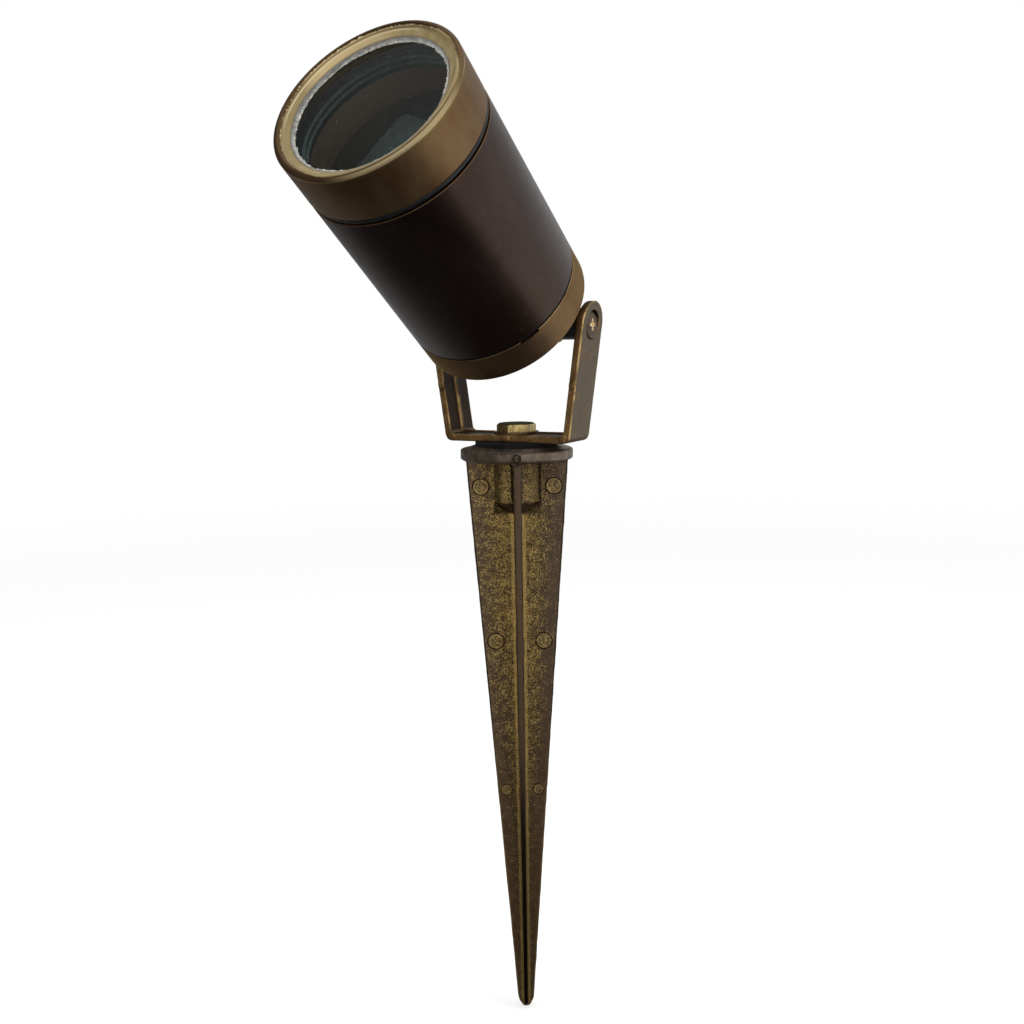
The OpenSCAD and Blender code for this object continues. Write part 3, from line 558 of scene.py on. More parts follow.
# %% Sand-cast spike
crest_brown = finish.mix(depth.step(-100, -150), (0.086, 0.053, 0.026), (0.014, 0.008, 0.003))
flange_brown = finish.mix(lumps.step(0.3, 0.7), (0.115, 0.086, 0.062), (0.20, 0.158, 0.118))
colour = finish.layers(
    finish.mix(clouds.step(0.3, 0.7), (0.085, 0.053, 0.029), (0.135, 0.087, 0.050)),
    # painted light: the patina is lighter on the left side, where the light falls
    (left * (1 - low), (0.155, 0.100, 0.056)),
    (low * 0.8, (0.118, 0.068, 0.029)),
    (middle * 0.6, (0.080, 0.050, 0.017)),
    (lumps.step(0.56, 0.40) * 0.35, (0.050, 0.033, 0.019)),
    (crest, crest_brown),
    (flange, flange_brown),
    # painted light: the brass is brighter on the left side
    (gilded * (0.8 + 0.2 * left), brass),
    (pad_shade * 0.95, (0.014, 0.009, 0.005)),
    (shaded * (1 - flange) * 0.85, (0.020, 0.013, 0.006)))
rough = 0.42 + 0.16 * sand - 0.14 * speck - 0.06 * flange
metallic = (0.42 + 0.2 * gilded + 0.30 * low).most(0.9 * flange, crest * low, shaded, pad_shade)
CAST_BROWN = finish.coat(colour, rough, metallic, [(sand * (0.2 + dense), 0.70), (lumps, 0.16)])
print("spike's finish:", CAST_BROWN.name)

# %% [markdown]
# The clamp bolt and the pivot screws are the same brass, less patinated: a spanner and a screwdriver have
# been on them. The top of the bolt's head is darker and dull, and the cross in the screws is painted bright:
# a painted highlight in its recess.

# %% Handled brass
finish = Finish("bolt_brass", metallic=1.0)
_, _, height = finish.in_mm()
clouds = finish.grain(4, 4, 0.65)
fine = finish.grain(0.5, 3)
wiped = finish.grain(0.4, 3, 0.6, finish.lay(stretch=(1, 1, 0.05)))
top = height.step(13.3, 13.6)
colour = finish.layers(
    finish.mix((0.5 * clouds + 0.5 * wiped).step(0.42, 0.58), (0.30, 0.215, 0.085), (0.66, 0.50, 0.21)),
    (top, (0.085, 0.060, 0.032)))
BOLT_BRASS = finish.coat(colour, 0.26 + 0.18 * fine, bumps=[(fine, 0.015)])
finish.dull(top * (0.75 + 0.25 * clouds), (0.030, 0.026, 0.014))

finish = Finish("screw_bronze", metallic=1.0)
x, y, z = finish.in_mm()
off_axis = finish.off_tilt_axis()
off_slot = y.away().least((z - PIVOT_Z).away())
slot_floor = x.away().step(32.15, 31.95) * off_axis.step(3.8, 3.5)
slot_line = off_slot.step(0.62, 0.48) * off_axis.step(2.3, 2.0)
# painted highlight: the cross recess is painted near-white brass and made less metallic
cross = slot_floor.most(slot_line) * x.away().step(29.0, 30.0)
clouds = finish.grain(3, 4, 0.65)
colour = finish.layers(
    finish.mix(clouds.step(0.3, 0.7), (0.075, 0.052, 0.032), (0.15, 0.105, 0.066)),
    (cross, (0.95, 0.80, 0.48)))
SCREW_BRONZE = finish.coat(colour, 0.34 + 0.15 * clouds, 1 - 0.8 * cross, [(finish.grain(0.5, 3), 0.015)])

finish = Finish("pin_metal", metallic=1.0)
PIN_METAL = finish.coat(finish.mix(finish.grain(2, 3), (0.70, 0.56, 0.30), (0.60, 0.47, 0.24)),
                        0.25 + 0.15 * finish.grain(0.6, 2))
print("handled brass:", BOLT_BRASS.name, SCREW_BRONZE.name, PIN_METAL.name)

# %% [markdown]
# ## Rubber, plastic and plain metal
# These surfaces are almost one colour, so they share one function: two close colours in soft
# clouds and a fine skin. The head's seals are smooth black rubber, the gasket behind the glass
# has a green cast, and the sheet on the spike's flange is dull. The gland and the spacers are
# moulded nylon. What sits hidden behind the lamp gets a true finish too, for when it is opened.

# %% Rubber, plastic and plain metal
def moulded(name, dark, light, rough, lump=2.5, skin=0.02, gloss=0.5, metal=0.0):
    """Two close colours in clouds of this size, under a skin of this depth, in millimetres."""
    finish = Finish(name, metal, gloss)
    clouds = finish.grain(lump, 3)
    colour = finish.mix(clouds.step(0.3, 0.7), dark, light)
    bumps = [(finish.grain(0.35, 2), skin)] if skin else []
    return finish.coat(colour, rough + 0.12 * (clouds - 0.5), bumps=bumps)


RUBBER = moulded("rubber_black", (0.004, 0.004, 0.004), (0.009, 0.009, 0.009), 0.30,
                 lump=4, skin=0.002, gloss=0.30)
BELLOWS = moulded("glass_gasket", (0.012, 0.017, 0.016), (0.024, 0.030, 0.028), 0.26,
                  lump=4, skin=0.002, gloss=0.45)
GASKET = moulded("gasket_sheet", (0.007, 0.007, 0.007), (0.013, 0.012, 0.011), 0.75,
                 lump=3, skin=0.01, gloss=0.12)
SPACER = moulded("spacer_black", (0.010, 0.010, 0.011), (0.017, 0.017, 0.018), 0.38, lump=3, skin=0.008)
GLAND = moulded("gland_black", (0.016, 0.017, 0.018), (0.028, 0.029, 0.031), 0.42)
CERAMIC = moulded("ceramic", (0.70, 0.68, 0.61), (0.80, 0.78, 0.72), 0.45)
SLEEVE = moulded("lead_sleeve", (0.50, 0.48, 0.44), (0.62, 0.60, 0.56), 0.60)
LAMP_METAL = moulded("lamp_metal", (0.48, 0.48, 0.49), (0.60, 0.60, 0.61), 0.40, lump=3, metal=1.0)
STEEL = moulded("plated_steel", (0.52, 0.52, 0.52), (0.64, 0.63, 0.60), 0.32, lump=1.5, skin=0.01, metal=1.0)
LAMP_BLACK = moulded("lamp_black", (0.012, 0.015, 0.015), (0.017, 0.021, 0.021), 0.26,
                     lump=9, skin=0, gloss=0.4)
PAD_GREY = moulded("lamp_pad", (0.060, 0.068, 0.068), (0.076, 0.084, 0.084), 0.27, lump=6, skin=0)
print("finishes so far:", len(bpy.data.materials))

# %% [markdown]
# The silicone is a milky grey where it is thick and smooth, next to the metal. Its free edge is thin, torn
# and whiter. Down in the pocket beside the glass it is painted dark brown, as painted shade in the pocket.
# All three are places, so they are found from the radius and the height on the head.

# %% Silicone
finish = Finish("silicone")
radius, along = finish.on_head()
free_edge = (radius + 0.9 * (finish.grain(0.9, 3, 0.7) - 0.5)).step(26.85, 26.45)
flecks = finish.grain(0.75, 3, 0.7).step(0.47, 0.56)
colour = finish.layers(
    finish.mix(finish.grain(2.2, 3).step(0.3, 0.7), (0.15, 0.15, 0.145), (0.27, 0.265, 0.25)),
    (free_edge * (0.10 + 0.90 * flecks), (0.54, 0.52, 0.45)),
    # painted shade: the silicone down in the pocket beside the glass is dark brown
    (along.step(GLASS_END - 0.05, GLASS_END - 0.25), (0.035, 0.026, 0.018)))
SILICONE = finish.coat(colour, 0.34 + 0.2 * flecks, bumps=[(finish.grain(0.8, 3, 0.6), 0.12)])
print("silicone's finish:", SILICONE.name)

# %% [markdown]
# The glass is clear, so almost all that is seen of it is a thin reflection. The ready-made shader
# for glass would bend the light and leave the well behind it in the dark. A Fresnel mix of a gloss
# and a clear film, in a tree that starts empty, lets the light through. Only the outward side of a
# face gets the gloss: from inside the disc the same formula would make a mirror.

# %% Glass
def bare_tree(owner):
    """The emptied node tree of a material or a world."""
    owner.use_nodes = True
    owner.node_tree.nodes.clear()
    return owner.node_tree


CLEAR_GLASS = bpy.data.materials.new("clear_glass")
tree = bare_tree(CLEAR_GLASS)
film = add_node(tree, "ShaderNodeBsdfTransparent", {"Color": (0.86, 0.93, 0.92, 1)})
gloss = add_node(tree, "ShaderNodeBsdfGlossy", {"Color": (0.75, 0.75, 0.75, 1), "Roughness": 0.03})
fresnel = add_node(tree, "ShaderNodeFresnel", {"IOR": 1.40})
seen_from = add_node(tree, "ShaderNodeNewGeometry")
shine = Amount(tree, fresnel.outputs[0]) * (1 - Amount(tree, seen_from.outputs["Backfacing"]))
both = add_node(tree, "ShaderNodeMixShader", {0: shine, 1: film, 2: gloss})
add_node(tree, "ShaderNodeOutputMaterial", {"Surface": both})
print("glass finish:", CLEAR_GLASS.name)

# %% [markdown]
# ## Turned pieces
# A turned piece is one outline spun round an axis. Real edges are never sharp, so the outline's
# corners are rounded first: each corner becomes a short arc, as small as the tool left it. A
# point in the middle of a straight run stays as it is. The outline is then set down again and
# again round the axis, and neighbouring rings of points are joined by faces. A Screw modifier
# would do the same, but a loop can also push single points, as the silicone needs further down.

# %% Helpers for meshes
def soften(outline, radius):
    """Rounds each corner of a closed outline. A point's third number is a radius of its own."""
    out = []
    for i, point in enumerate(outline):
        corner = Vector(point[:2])
        before, after = Vector(outline[i - 1][:2]), Vector(outline[(i + 1) % len(outline)][:2])
        a, b = before - corner, after - corner
        want = point[2] if len(point) > 2 else radius
        cut = min(want, 0.45 * a.length, 0.45 * b.length)
        if cut < 0.01 or a.angle(b) > math.radians(172):
            out.append(corner)
            continue
        start, end = corner + a.normalized() * cut, corner + b.normalized() * cut
        for k in range(4):
            t = k / 3
            out.append((1 - t) ** 2 * start + 2 * t * (1 - t) * corner + t ** 2 * end)
    return out


def join_rings(work, rings):
    """Faces between each ring of points and the next."""
    for ring, following in zip(rings, rings[1:]):
        for i in range(len(ring)):
            j = (i + 1) % len(ring)
            work.faces.new((ring[i], following[i], following[j], ring[j]))


def finish_mesh(work, name, matrix=Matrix.Identity(4)):
    """Ends a bmesh and returns its mesh, moved by a matrix."""
    mesh = bpy.data.meshes.new(name)
    work.to_mesh(mesh)
    work.free()
    mesh.transform(matrix)
    return mesh


def smooth_by_angle(mesh, degrees=32):
    """Smooth shading, with the edges sharper than this angle left crisp."""
    limit = math.radians(degrees)
    work = bmesh.new()
    work.from_mesh(mesh)
    for face in work.faces:
        face.smooth = True
    for line in work.edges:
        line.smooth = len(line.link_faces) == 2 and line.calc_face_angle(0) < limit
    work.to_mesh(mesh)
    work.free()


def new_piece(name, mesh, material):
    """An object for a finished mesh, with its finish."""
    mesh.materials.clear()
    mesh.materials.append(material)
    return place_object(name, mesh)


square = soften([(0, 0), (10, 0), (10, 10), (0, 10)], 0.2)
print("a softened square has", len(square), "points")

# %% [markdown]
# The lathe itself takes such an outline, as pairs of radius and height. Where a piece isn't quite
# true, a function that wobbles each point a little goes in with it.

# %% Lathe
def spin(name, outline, material, radius=0.2, steps=240, matrix=HEAD, wobble=None):
    """Spins a closed outline of (radius, height) millimetres round the axis and places it."""
    points = soften(outline, radius)
    work = bmesh.new()
    rings = []
    for k in range(steps):
        angle = 2 * math.pi * k / steps
        ring = []
        for i, (r, z) in enumerate(points):
            dr, dz = wobble(i, angle, r, z) if wobble else (0, 0)
            x, y = math.cos(angle) * (r + dr), math.sin(angle) * (r + dr)
            ring.append(work.verts.new((x * MM, y * MM, (z + dz) * MM)))
        rings.append(ring)
    join_rings(work, rings + rings[:1])
    bmesh.ops.remove_doubles(work, verts=work.verts, dist=1e-7)
    bmesh.ops.recalc_face_normals(work, faces=work.faces)
    mesh = finish_mesh(work, name, matrix)
    smooth_by_angle(mesh)
    return new_piece(name, mesh, material)


ON_AXIS = 0.001                               # a disc's outline stays this far off the axis
print("lathe ready")

# %% [markdown]
# The tube, the bezel and the glass are solid rings and a disc, with every bore, step and undercut
# that the real ones have. The bezel's outer edge is one wide arc, which its outline gets point by
# point. Inside it come a narrow flat, a first slope with a tiny step, and the long slope to the
# opening.

# %% Tube, bezel and glass
ROOT_R = THREAD_R - THREAD_DEPTH
BORE_ROOT_R = THREAD_BORE_R + THREAD_DEPTH
RIM = 1.52
FLAT_R, SLOPE_R, SLOPE_Z = 30.75, 29.95, 113.64

tube = spin("tube", [
    (HEAD_R, TUBE_Z, 0.35), (HEAD_R, TUBE_END, 0.35), (NECK_R, TUBE_END), (NECK_R, BEZEL_Z),
    (ROOT_R, BEZEL_Z + 0.4), (ROOT_R, SPIGOT_END), (COUNTERBORE_R, SPIGOT_END), (COUNTERBORE_R, SKIRT_Z),
    (WELL_R, SKIRT_Z), (WELL_R, FACE_Z), (LEDGE_R, FACE_Z), (LEDGE_R, FACE_Z - 3),
    (TUBE_BORE_R, FACE_Z - 6), (TUBE_BORE_R, TUBE_Z)], HOUSING_DARK)
rim_arc = [(HEAD_R - RIM + RIM * math.cos(a), BEZEL_END - RIM + RIM * math.sin(a), 0)
           for a in (math.pi / 2 * k / 9 for k in range(10))]
bezel = spin("bezel_ring", [(HEAD_R, BEZEL_Z, 0.5)] + rim_arc + [
    (FLAT_R, BEZEL_END, 0.2), (SLOPE_R, SLOPE_Z, 0.04), (SLOPE_R - 0.09, SLOPE_Z - 0.14, 0.04),
    (OPENING_R, OPENING_Z, 0.12), (OPENING_R, LIP_Z, 0.1), (POCKET_R, LIP_Z), (POCKET_R, GLASS_Z),
    (BORE_ROOT_R, GLASS_Z), (BORE_ROOT_R, BEZEL_Z + 1.0), (BORE_ROOT_R + 0.1, BEZEL_Z)], BEZEL_BRONZE)
glass = spin("glass_disc", [
    (ON_AXIS, GLASS_Z, 0), (GLASS_R, GLASS_Z, 0.35), (GLASS_R, GLASS_END, 0.35), (ON_AXIS, GLASS_END, 0)],
    CLEAR_GLASS)
print("turned pieces:", {p.name: len(p.data.polygons) for p in (tube, bezel, glass)})

# %% [markdown]
# ## The silicone bead
# Under the bezel's lip the glass is bedded in silicone, and a ragged line of it creeps out over
# the glass. It starts as a turned bead too, but each point is pushed in and out by noise that
# follows the angle, so that the inner edge wanders and the skin is lumpy.

# %% Silicone bead
BEAD_R, BEAD_PROUD, BEAD_END_R = 27.2, 0.95, 26.0


def creep(i, angle, r, z):
    """How far a point of the bead is pushed in or out and up or down, in millimetres."""
    free = max(0.0, min(1.0, (OPENING_R - r) / 1.2))
    spot = Vector((math.cos(angle), math.sin(angle), 0.07 * i))
    slow = noise.noise(spot * 3.1 + Vector((3, 1, 7)))
    quick = noise.noise(spot * 17 + Vector((5, 2, 1)))
    ragged = noise.noise(spot * 48 + Vector((9, 4, 2)))
    in_or_out = free * (0.40 * slow + 0.42 * quick + 0.42 * ragged)
    up_or_down = free * 0.12 * (quick + ragged) if z > GLASS_END + 0.05 else 0
    return in_or_out, up_or_down


bead_slope = [(BEAD_R - 0.12 * k, GLASS_END + BEAD_PROUD * (1 - k / 9) ** 1.4, 0) for k in range(10)]
bead = spin("silicone_bead", [
    (GLASS_R, GLASS_Z + 0.4, 0), (POCKET_R, GLASS_Z + 0.4, 0), (POCKET_R, LIP_Z, 0), (OPENING_R, LIP_Z, 0)]
    + bead_slope + [(BEAD_END_R, GLASS_END - 0.02, 0), (GLASS_R, GLASS_END, 0)],
    SILICONE, 0, 720, HEAD, creep)
print("silicone bead:", len(bead.data.polygons), "faces")

# %% [markdown]
# ## Threads
# The bezel screws on the tube, so both carry a thread. A thread is one ridge that follows a
# helix, which Geometry Nodes make from a Spiral curve and a small four-sided section that stands
# on its corner, half sunk in the wall. The tree has its sizes as inputs and is used twice: the
# ridge points out on the tube, and in on the bezel.

# %% Helpers for Geometry Nodes
def new_tree(name, sockets):
    """An empty Geometry Nodes tree with these inputs. Returns it with its two end nodes."""
    tree = bpy.data.node_groups.new(name, "GeometryNodeTree")
    for title, kind in sockets:
        tree.interface.new_socket(name=title, in_out="INPUT", socket_type="NodeSocket" + kind)
    tree.interface.new_socket(name="Mesh", in_out="OUTPUT", socket_type="NodeSocketGeometry")
    return tree, add_node(tree, "NodeGroupInput"), add_node(tree, "NodeGroupOutput")


def end_tree(tree, mesh, material, out):
    """Realize Instances and Set Material, then the output."""
    real = add_node(tree, "GeometryNodeRealizeInstances", {0: mesh})
    painted = add_node(tree, "GeometryNodeSetMaterial", {"Geometry": real, "Material": material})
    tree.links.new(painted.outputs[0], out.inputs[0])


def apply_modifiers(piece):
    """Makes the result of a piece's modifiers its own mesh."""
    bpy.context.view_layer.update()
    graph = bpy.context.evaluated_depsgraph_get()
    mesh = bpy.data.meshes.new_from_object(piece.evaluated_get(graph))
    piece.modifiers.clear()
    piece.data = mesh


def grow(name, tree, values, matrix=Matrix.Identity(4)):
    """Runs a Geometry Nodes tree with these values and returns its result as a plain mesh object."""
    piece = place_object(name, bpy.data.meshes.new(name))
    modifier = piece.modifiers.new("grow", "NODES")
    modifier.node_group = tree
    for item in tree.interface.items_tree:
        if item.in_out == "INPUT":
            modifier[item.identifier] = values[item.name]
    apply_modifiers(piece)
    piece.data.transform(matrix)
    return piece


print("helpers for Geometry Nodes ready")

# %% [markdown]
# A spiral whose two radii are equal is a helix, and Curve to Mesh draws the small section along it.
# The curve's normals are kept upright, so that the section doesn't twist on its way round.

# %% Threads
thread_tree, given, out = new_tree("thread", [
    ("Radius", "Float"), ("Height", "Float"), ("Turns", "Float"), ("Ridge", "Float"),
    ("Material", "Material")])
helix = add_node(thread_tree, "GeometryNodeCurveSpiral", {
    "Resolution": 120, "Rotations": given.outputs["Turns"], "Start Radius": given.outputs["Radius"],
    "End Radius": given.outputs["Radius"], "Height": given.outputs["Height"]})
upright = add_node(thread_tree, "GeometryNodeSetCurveNormal", {"Curve": helix}, mode="Z_UP")
section = add_node(thread_tree, "GeometryNodeCurvePrimitiveCircle", {
    "Resolution": 4, "Radius": given.outputs["Ridge"]})
ridge = add_node(thread_tree, "GeometryNodeCurveToMesh", {
    "Curve": upright, "Profile Curve": section, "Fill Caps": True})
end_tree(thread_tree, ridge, given.outputs["Material"], out)

TURNS = 3.6
SUNK = 0.02


def thread(name, radius, start, material):
    """The ridge of a thread round the head's axis, from a height on."""
    return grow(name, thread_tree, {
        "Radius": radius * MM, "Height": TURNS * THREAD_PITCH * MM, "Turns": TURNS,
        "Ridge": (THREAD_DEPTH - 2 * SUNK) * MM, "Material": material},
        HEAD @ Matrix.Translation((0, 0, start * MM)))


tube_thread = thread("tube_thread", ROOT_R + SUNK, BEZEL_Z + 0.8, HOUSING_DARK)
bezel_thread = thread("bezel_thread", BORE_ROOT_R - SUNK, BEZEL_Z + 0.8 + THREAD_PITCH / 2, BEZEL_BRONZE)
print("threads:", len(tube_thread.data.polygons), "and", len(bezel_thread.data.polygons), "faces")

# %% [markdown]
# ## Lamp face
# At the bottom of the light well sits the black face of the sealed lamp, with a bare square pad
# in its middle. The disc is turned, and the pad is a rounded square with a soft edge: four rings
# of points, of which the upper two also go a little further in.

# %% Lamp face and pad
SQUARE_SIDE, SQUARE_CORNER, SQUARE_TURN = 30, 3.5, math.radians(66)
lamp_disc = spin("lamp_disc", [
    (ON_AXIS, FACE_Z, 0), (WELL_R - 0.15, FACE_Z, 0.2), (WELL_R - 0.15, FACE_END, 0.4),
    (ON_AXIS, FACE_END, 0)], LAMP_BLACK)


def rounded_plate(name, side, corner, low, high, turn, material, soft=0.18):
    """A square plate with round corners and a softened top edge, on the head's axis."""
    work = bmesh.new()
    rings = []
    for inset, z in ((0, low), (0, high - soft), (0.3 * soft, high - 0.3 * soft), (soft, high)):
        half, r = side / 2 - inset, corner - inset
        ring = []
        for quarter in range(4):
            x = (half - r) * (1 if quarter in (0, 3) else -1)
            y = (half - r) * (1 if quarter < 2 else -1)
            for k in range(9):
                angle = math.pi / 2 * (quarter + k / 8)
                across, over = x + r * math.cos(angle), y + r * math.sin(angle)
                ring.append(work.verts.new((across * MM, over * MM, z * MM)))
        rings.append(ring)
    join_rings(work, rings)
    work.faces.new(rings[0][::-1])
    work.faces.new(rings[-1])
    bmesh.ops.recalc_face_normals(work, faces=work.faces)
    mesh = finish_mesh(work, name, HEAD @ Matrix.Rotation(turn, 4, "Z"))
    smooth_by_angle(mesh)
    return new_piece(name, mesh, material)


square_pad = rounded_plate(
    "lamp_pad", SQUARE_SIDE, SQUARE_CORNER, FACE_END - 0.3, FACE_END + 0.4, SQUARE_TURN, PAD_GREY)
print("lamp face:", len(lamp_disc.data.polygons) + len(square_pad.data.polygons), "faces")

# %% [markdown]
# ## Castings
# The spike and the yoke are castings: no edge is sharp and no face is quite flat. Beveling a
# solid that came in as loose triangles is fragile, so a copy of each is rebuilt on a fine voxel
# grid and then relaxed a little, which rounds every edge and corner at once, as molten metal in
# sand does. Last, the skin is pushed in and out by noise. The mesh is also measured: where it
# bends outwards, the attribute edge is high, and the yoke's finish wears the patina off there.
# Where it bends inwards, the attribute hollow is high, and the spike's finish paints shade there.

# %% Helpers for arrays
def read_rows(items, label, width, kind=float):
    """One property of a mesh's points or edges, as rows of an array."""
    values = np.empty(len(items) * width, kind)
    items.foreach_get(label, values)
    return values.reshape(-1, width)


def write_points(mesh, points):
    """Moves a mesh's points to these places."""
    mesh.vertices.foreach_set("co", points.ravel())
    mesh.update()


def write_attribute(mesh, name, values):
    """Stores a number for each point of a mesh, under a name that a finish can read."""
    attribute = mesh.attributes.new(name, "FLOAT", "POINT")
    attribute.data.foreach_set("value", values.astype(np.float32))


def neighbours_mean(values, ends):
    """The mean of each point's neighbours along the mesh's edges."""
    total = np.zeros_like(values)
    for a, b in ((0, 1), (1, 0)):
        np.add.at(total, ends[:, a], values[ends[:, b]])
    number = np.bincount(ends.ravel(), minlength=len(values)).astype(float)
    return total / number.reshape((-1,) + (1,) * (values.ndim - 1))


print("array helpers ready")

# %% [markdown]
# Plain averages would shrink a casting, so each pass of the relaxing also takes a step back. And
# an upright grid would cut steps in the yoke's leaning arms, so they are stood up before the
# rebuild and leaned again after it.

# %% Casting
SMOOTH_BY, STEP_BACK_BY, BEND_GAIN = 0.5, 0.53, 6


def lean_arms(mesh, slope):
    """Leans what stands above the yoke's base away from the middle, or back with a negative slope."""
    points = read_rows(mesh.vertices, "co", 3)
    points[:, 0] += np.sign(points[:, 0]) * slope * np.maximum(points[:, 2] - YOKE_TOP * MM, 0)
    write_points(mesh, points)


def voxel_mesh(node, name, voxel_mm, lean):
    """A copy of a solid's mesh, merged and rebuilt on a grid of voxels."""
    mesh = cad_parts[node].data.copy()
    lean_arms(mesh, -lean)
    work = bmesh.new()
    work.from_mesh(mesh)
    bmesh.ops.remove_doubles(work, verts=work.verts, dist=1e-6)
    work.to_mesh(mesh)
    work.free()
    raw = place_object(name + "_raw", mesh)
    remesh = raw.modifiers.new("remesh", "REMESH")
    remesh.mode, remesh.voxel_size = "VOXEL", voxel_mm * MM
    apply_modifiers(raw)
    fine = raw.data
    bpy.data.objects.remove(raw)
    fine.name = name
    return fine


def cast_copy(node, name, voxel_mm, passes, material, lean=0.0):
    """A copy of a solid, cast: rebuilt, relaxed, and with the attributes edge and hollow.

    Arms that lean would get steps from the upright grid, so they are stood up for it by their lean.
    Each pass smooths the points and then steps back by a little more, so that nothing shrinks."""
    fine = voxel_mesh(node, name, voxel_mm, lean)
    points = read_rows(fine.vertices, "co", 3)
    ends = read_rows(fine.edges, "vertices", 2, int)
    for _ in range(passes):
        points = points + SMOOTH_BY * (neighbours_mean(points, ends) - points)
        points = points - STEP_BACK_BY * (neighbours_mean(points, ends) - points)
    write_points(fine, points)
    lean_arms(fine, lean)
    points = read_rows(fine.vertices, "co", 3)
    normals = read_rows(fine.vertices, "normal", 3)
    bend = np.einsum("ij,ij->i", points - neighbours_mean(points, ends), normals) / (voxel_mm * MM)
    for _ in range(2):
        bend = 0.4 * bend + 0.6 * neighbours_mean(bend, ends)
    for label, gain in (("edge", BEND_GAIN), ("hollow", -BEND_GAIN)):
        write_attribute(fine, label, np.clip(bend * gain, 0, 1))
    for polygon in fine.polygons:
        polygon.use_smooth = True
    return new_piece(name, fine, material), points, normals, bend


def rough_skin(points, size_mm, seed):
    """Smooth noise at each point, about -1 to 1, with lumps of this size."""
    shift = Vector((seed, 2 * seed, 3 * seed))
    return np.array([noise.noise(Vector(p) / (size_mm * MM) + shift) for p in points])


def push(piece, points, normals, height_mm):
    """Moves each point along its normal by its own height."""
    write_points(piece.data, points + normals * (height_mm * MM)[:, None])


print("casting helpers ready")

# %% [markdown]
# The spike is the coarser casting. Its skin has two sizes of lump: pimples of the sand, and the
# slow waves of a mould that was not quite flat. A Displace modifier could push the points as
# well. Worked out here, both sizes are plain millimetres.

# %% Spike
spike, points, normals, bend = cast_copy("ground_spike", "spike_casting", 0.62, 2, CAST_BROWN)
push(spike, points, normals, 0.05 * rough_skin(points, 1.6, 1) + 0.10 * rough_skin(points, 7, 2))
print("spike:", len(spike.data.polygons), "faces, sharpest bend", round(float(bend.max()), 2))

# %% [markdown]
# ## Ejector pads
# Round pads stand a hair proud of the fins, where pins pushed the casting out of its mould. They are too
# shallow for the voxel grid, so they are separate. One pad is turned, thick enough to stand out of both
# faces of a fin, and Geometry Nodes put a copy at each point of a small set: three rows of four, one on each
# fin, and smaller near the tip. Every pad has the attribute pad, which tells the finish where its disc, its
# rim and the line round it are: the rim is partly rubbed brass and partly a painted highlight of its edge,
# and the line round it is painted shade.

# %% The pad that is copied
def mark_rings(mesh, from_axis, disc_end, ring_end, kinds):
    """Writes the attribute pad for a mark's disc, the ring round it and the rest."""
    kind = np.where(from_axis < disc_end, kinds[0], np.where(from_axis < ring_end, kinds[1], kinds[2]))
    write_attribute(mesh, "pad", kind)


DISC_SHARE, RIM_SHARE = 0.84, 0.97            # where a pad's disc and its bright rim end
pad_rings = (ON_AXIS, DISC_SHARE - 0.02, DISC_SHARE + 0.02, 0.92, RIM_SHARE - 0.02, RIM_SHARE + 0.02, 1.13)
pad_blank = spin(
    "pad_blank", [(r, -1, 0) for r in pad_rings] + [(r, 1, 0) for r in reversed(pad_rings)],
    CAST_BROWN, 0, 40, Matrix.Rotation(math.pi / 2, 4, "X") @ Matrix.Scale(1 / MM, 4))
blank_points = read_rows(pad_blank.data.vertices, "co", 3)
mark_rings(pad_blank.data, np.hypot(blank_points[:, 0], blank_points[:, 2]), DISC_SHARE, RIM_SHARE,
           (DISC, BRIGHT_RIM, SHADE_LINE))
print("one pad:", len(pad_blank.data.polygons), "faces")

# %% [markdown]
# The tree reads the size and the turn of each pad from attributes of the points. So one tree
# places pads of any radius and thickness, on any fin.

# %% Tree for the pads
pad_tree, given, out = new_tree("round_pads", [
    ("Centres", "Object"), ("Pad", "Object"), ("Material", "Material")])
centres = add_node(pad_tree, "GeometryNodeObjectInfo", {"Object": given.outputs["Centres"]})
pad_shape = add_node(pad_tree, "GeometryNodeObjectInfo", {"Object": given.outputs["Pad"]})
size, turn = [
    add_node(pad_tree, "GeometryNodeInputNamedAttribute", {"Name": name}, data_type="FLOAT_VECTOR")
    for name in ("size", "turn")]
turned_to = add_node(pad_tree, "FunctionNodeEulerToRotation", {0: turn})
copies = add_node(pad_tree, "GeometryNodeInstanceOnPoints", {
    "Points": centres.outputs["Geometry"], "Instance": pad_shape.outputs["Geometry"],
    "Rotation": turned_to, "Scale": size})
end_tree(pad_tree, copies, given.outputs["Material"], out)


def round_pads(name, rows, material):
    """A pad for each row: its middle, radius and half thickness in millimetres, and its turn about Z."""
    mesh = bpy.data.meshes.new(name + "_centres")
    mesh.from_pydata([Vector(middle) * MM for middle, r, half, turn in rows], [], [])
    for label, values in (("size", [(r * MM, half * MM, r * MM) for middle, r, half, turn in rows]),
                          ("turn", [(0, 0, turn) for middle, r, half, turn in rows])):
        vectors = mesh.attributes.new(label, "FLOAT_VECTOR", "POINT")
        vectors.data.foreach_set("vector", np.array(values, np.float32).ravel())
    points = place_object(name + "_centres", mesh)
    pads = grow(name, pad_tree, {"Centres": points, "Pad": pad_blank, "Material": material})
    bpy.data.objects.remove(points)
    return pads


print("tree for pads:", len(pad_tree.nodes), "nodes")

# %% [markdown]
# The yoke has round marks of the same kind. Each goes right through it, so it shows in front and
# behind. A last one, turned for its place, sits on the rim of the spike's flange, square to
# the camera, with a ring and a small hollow.

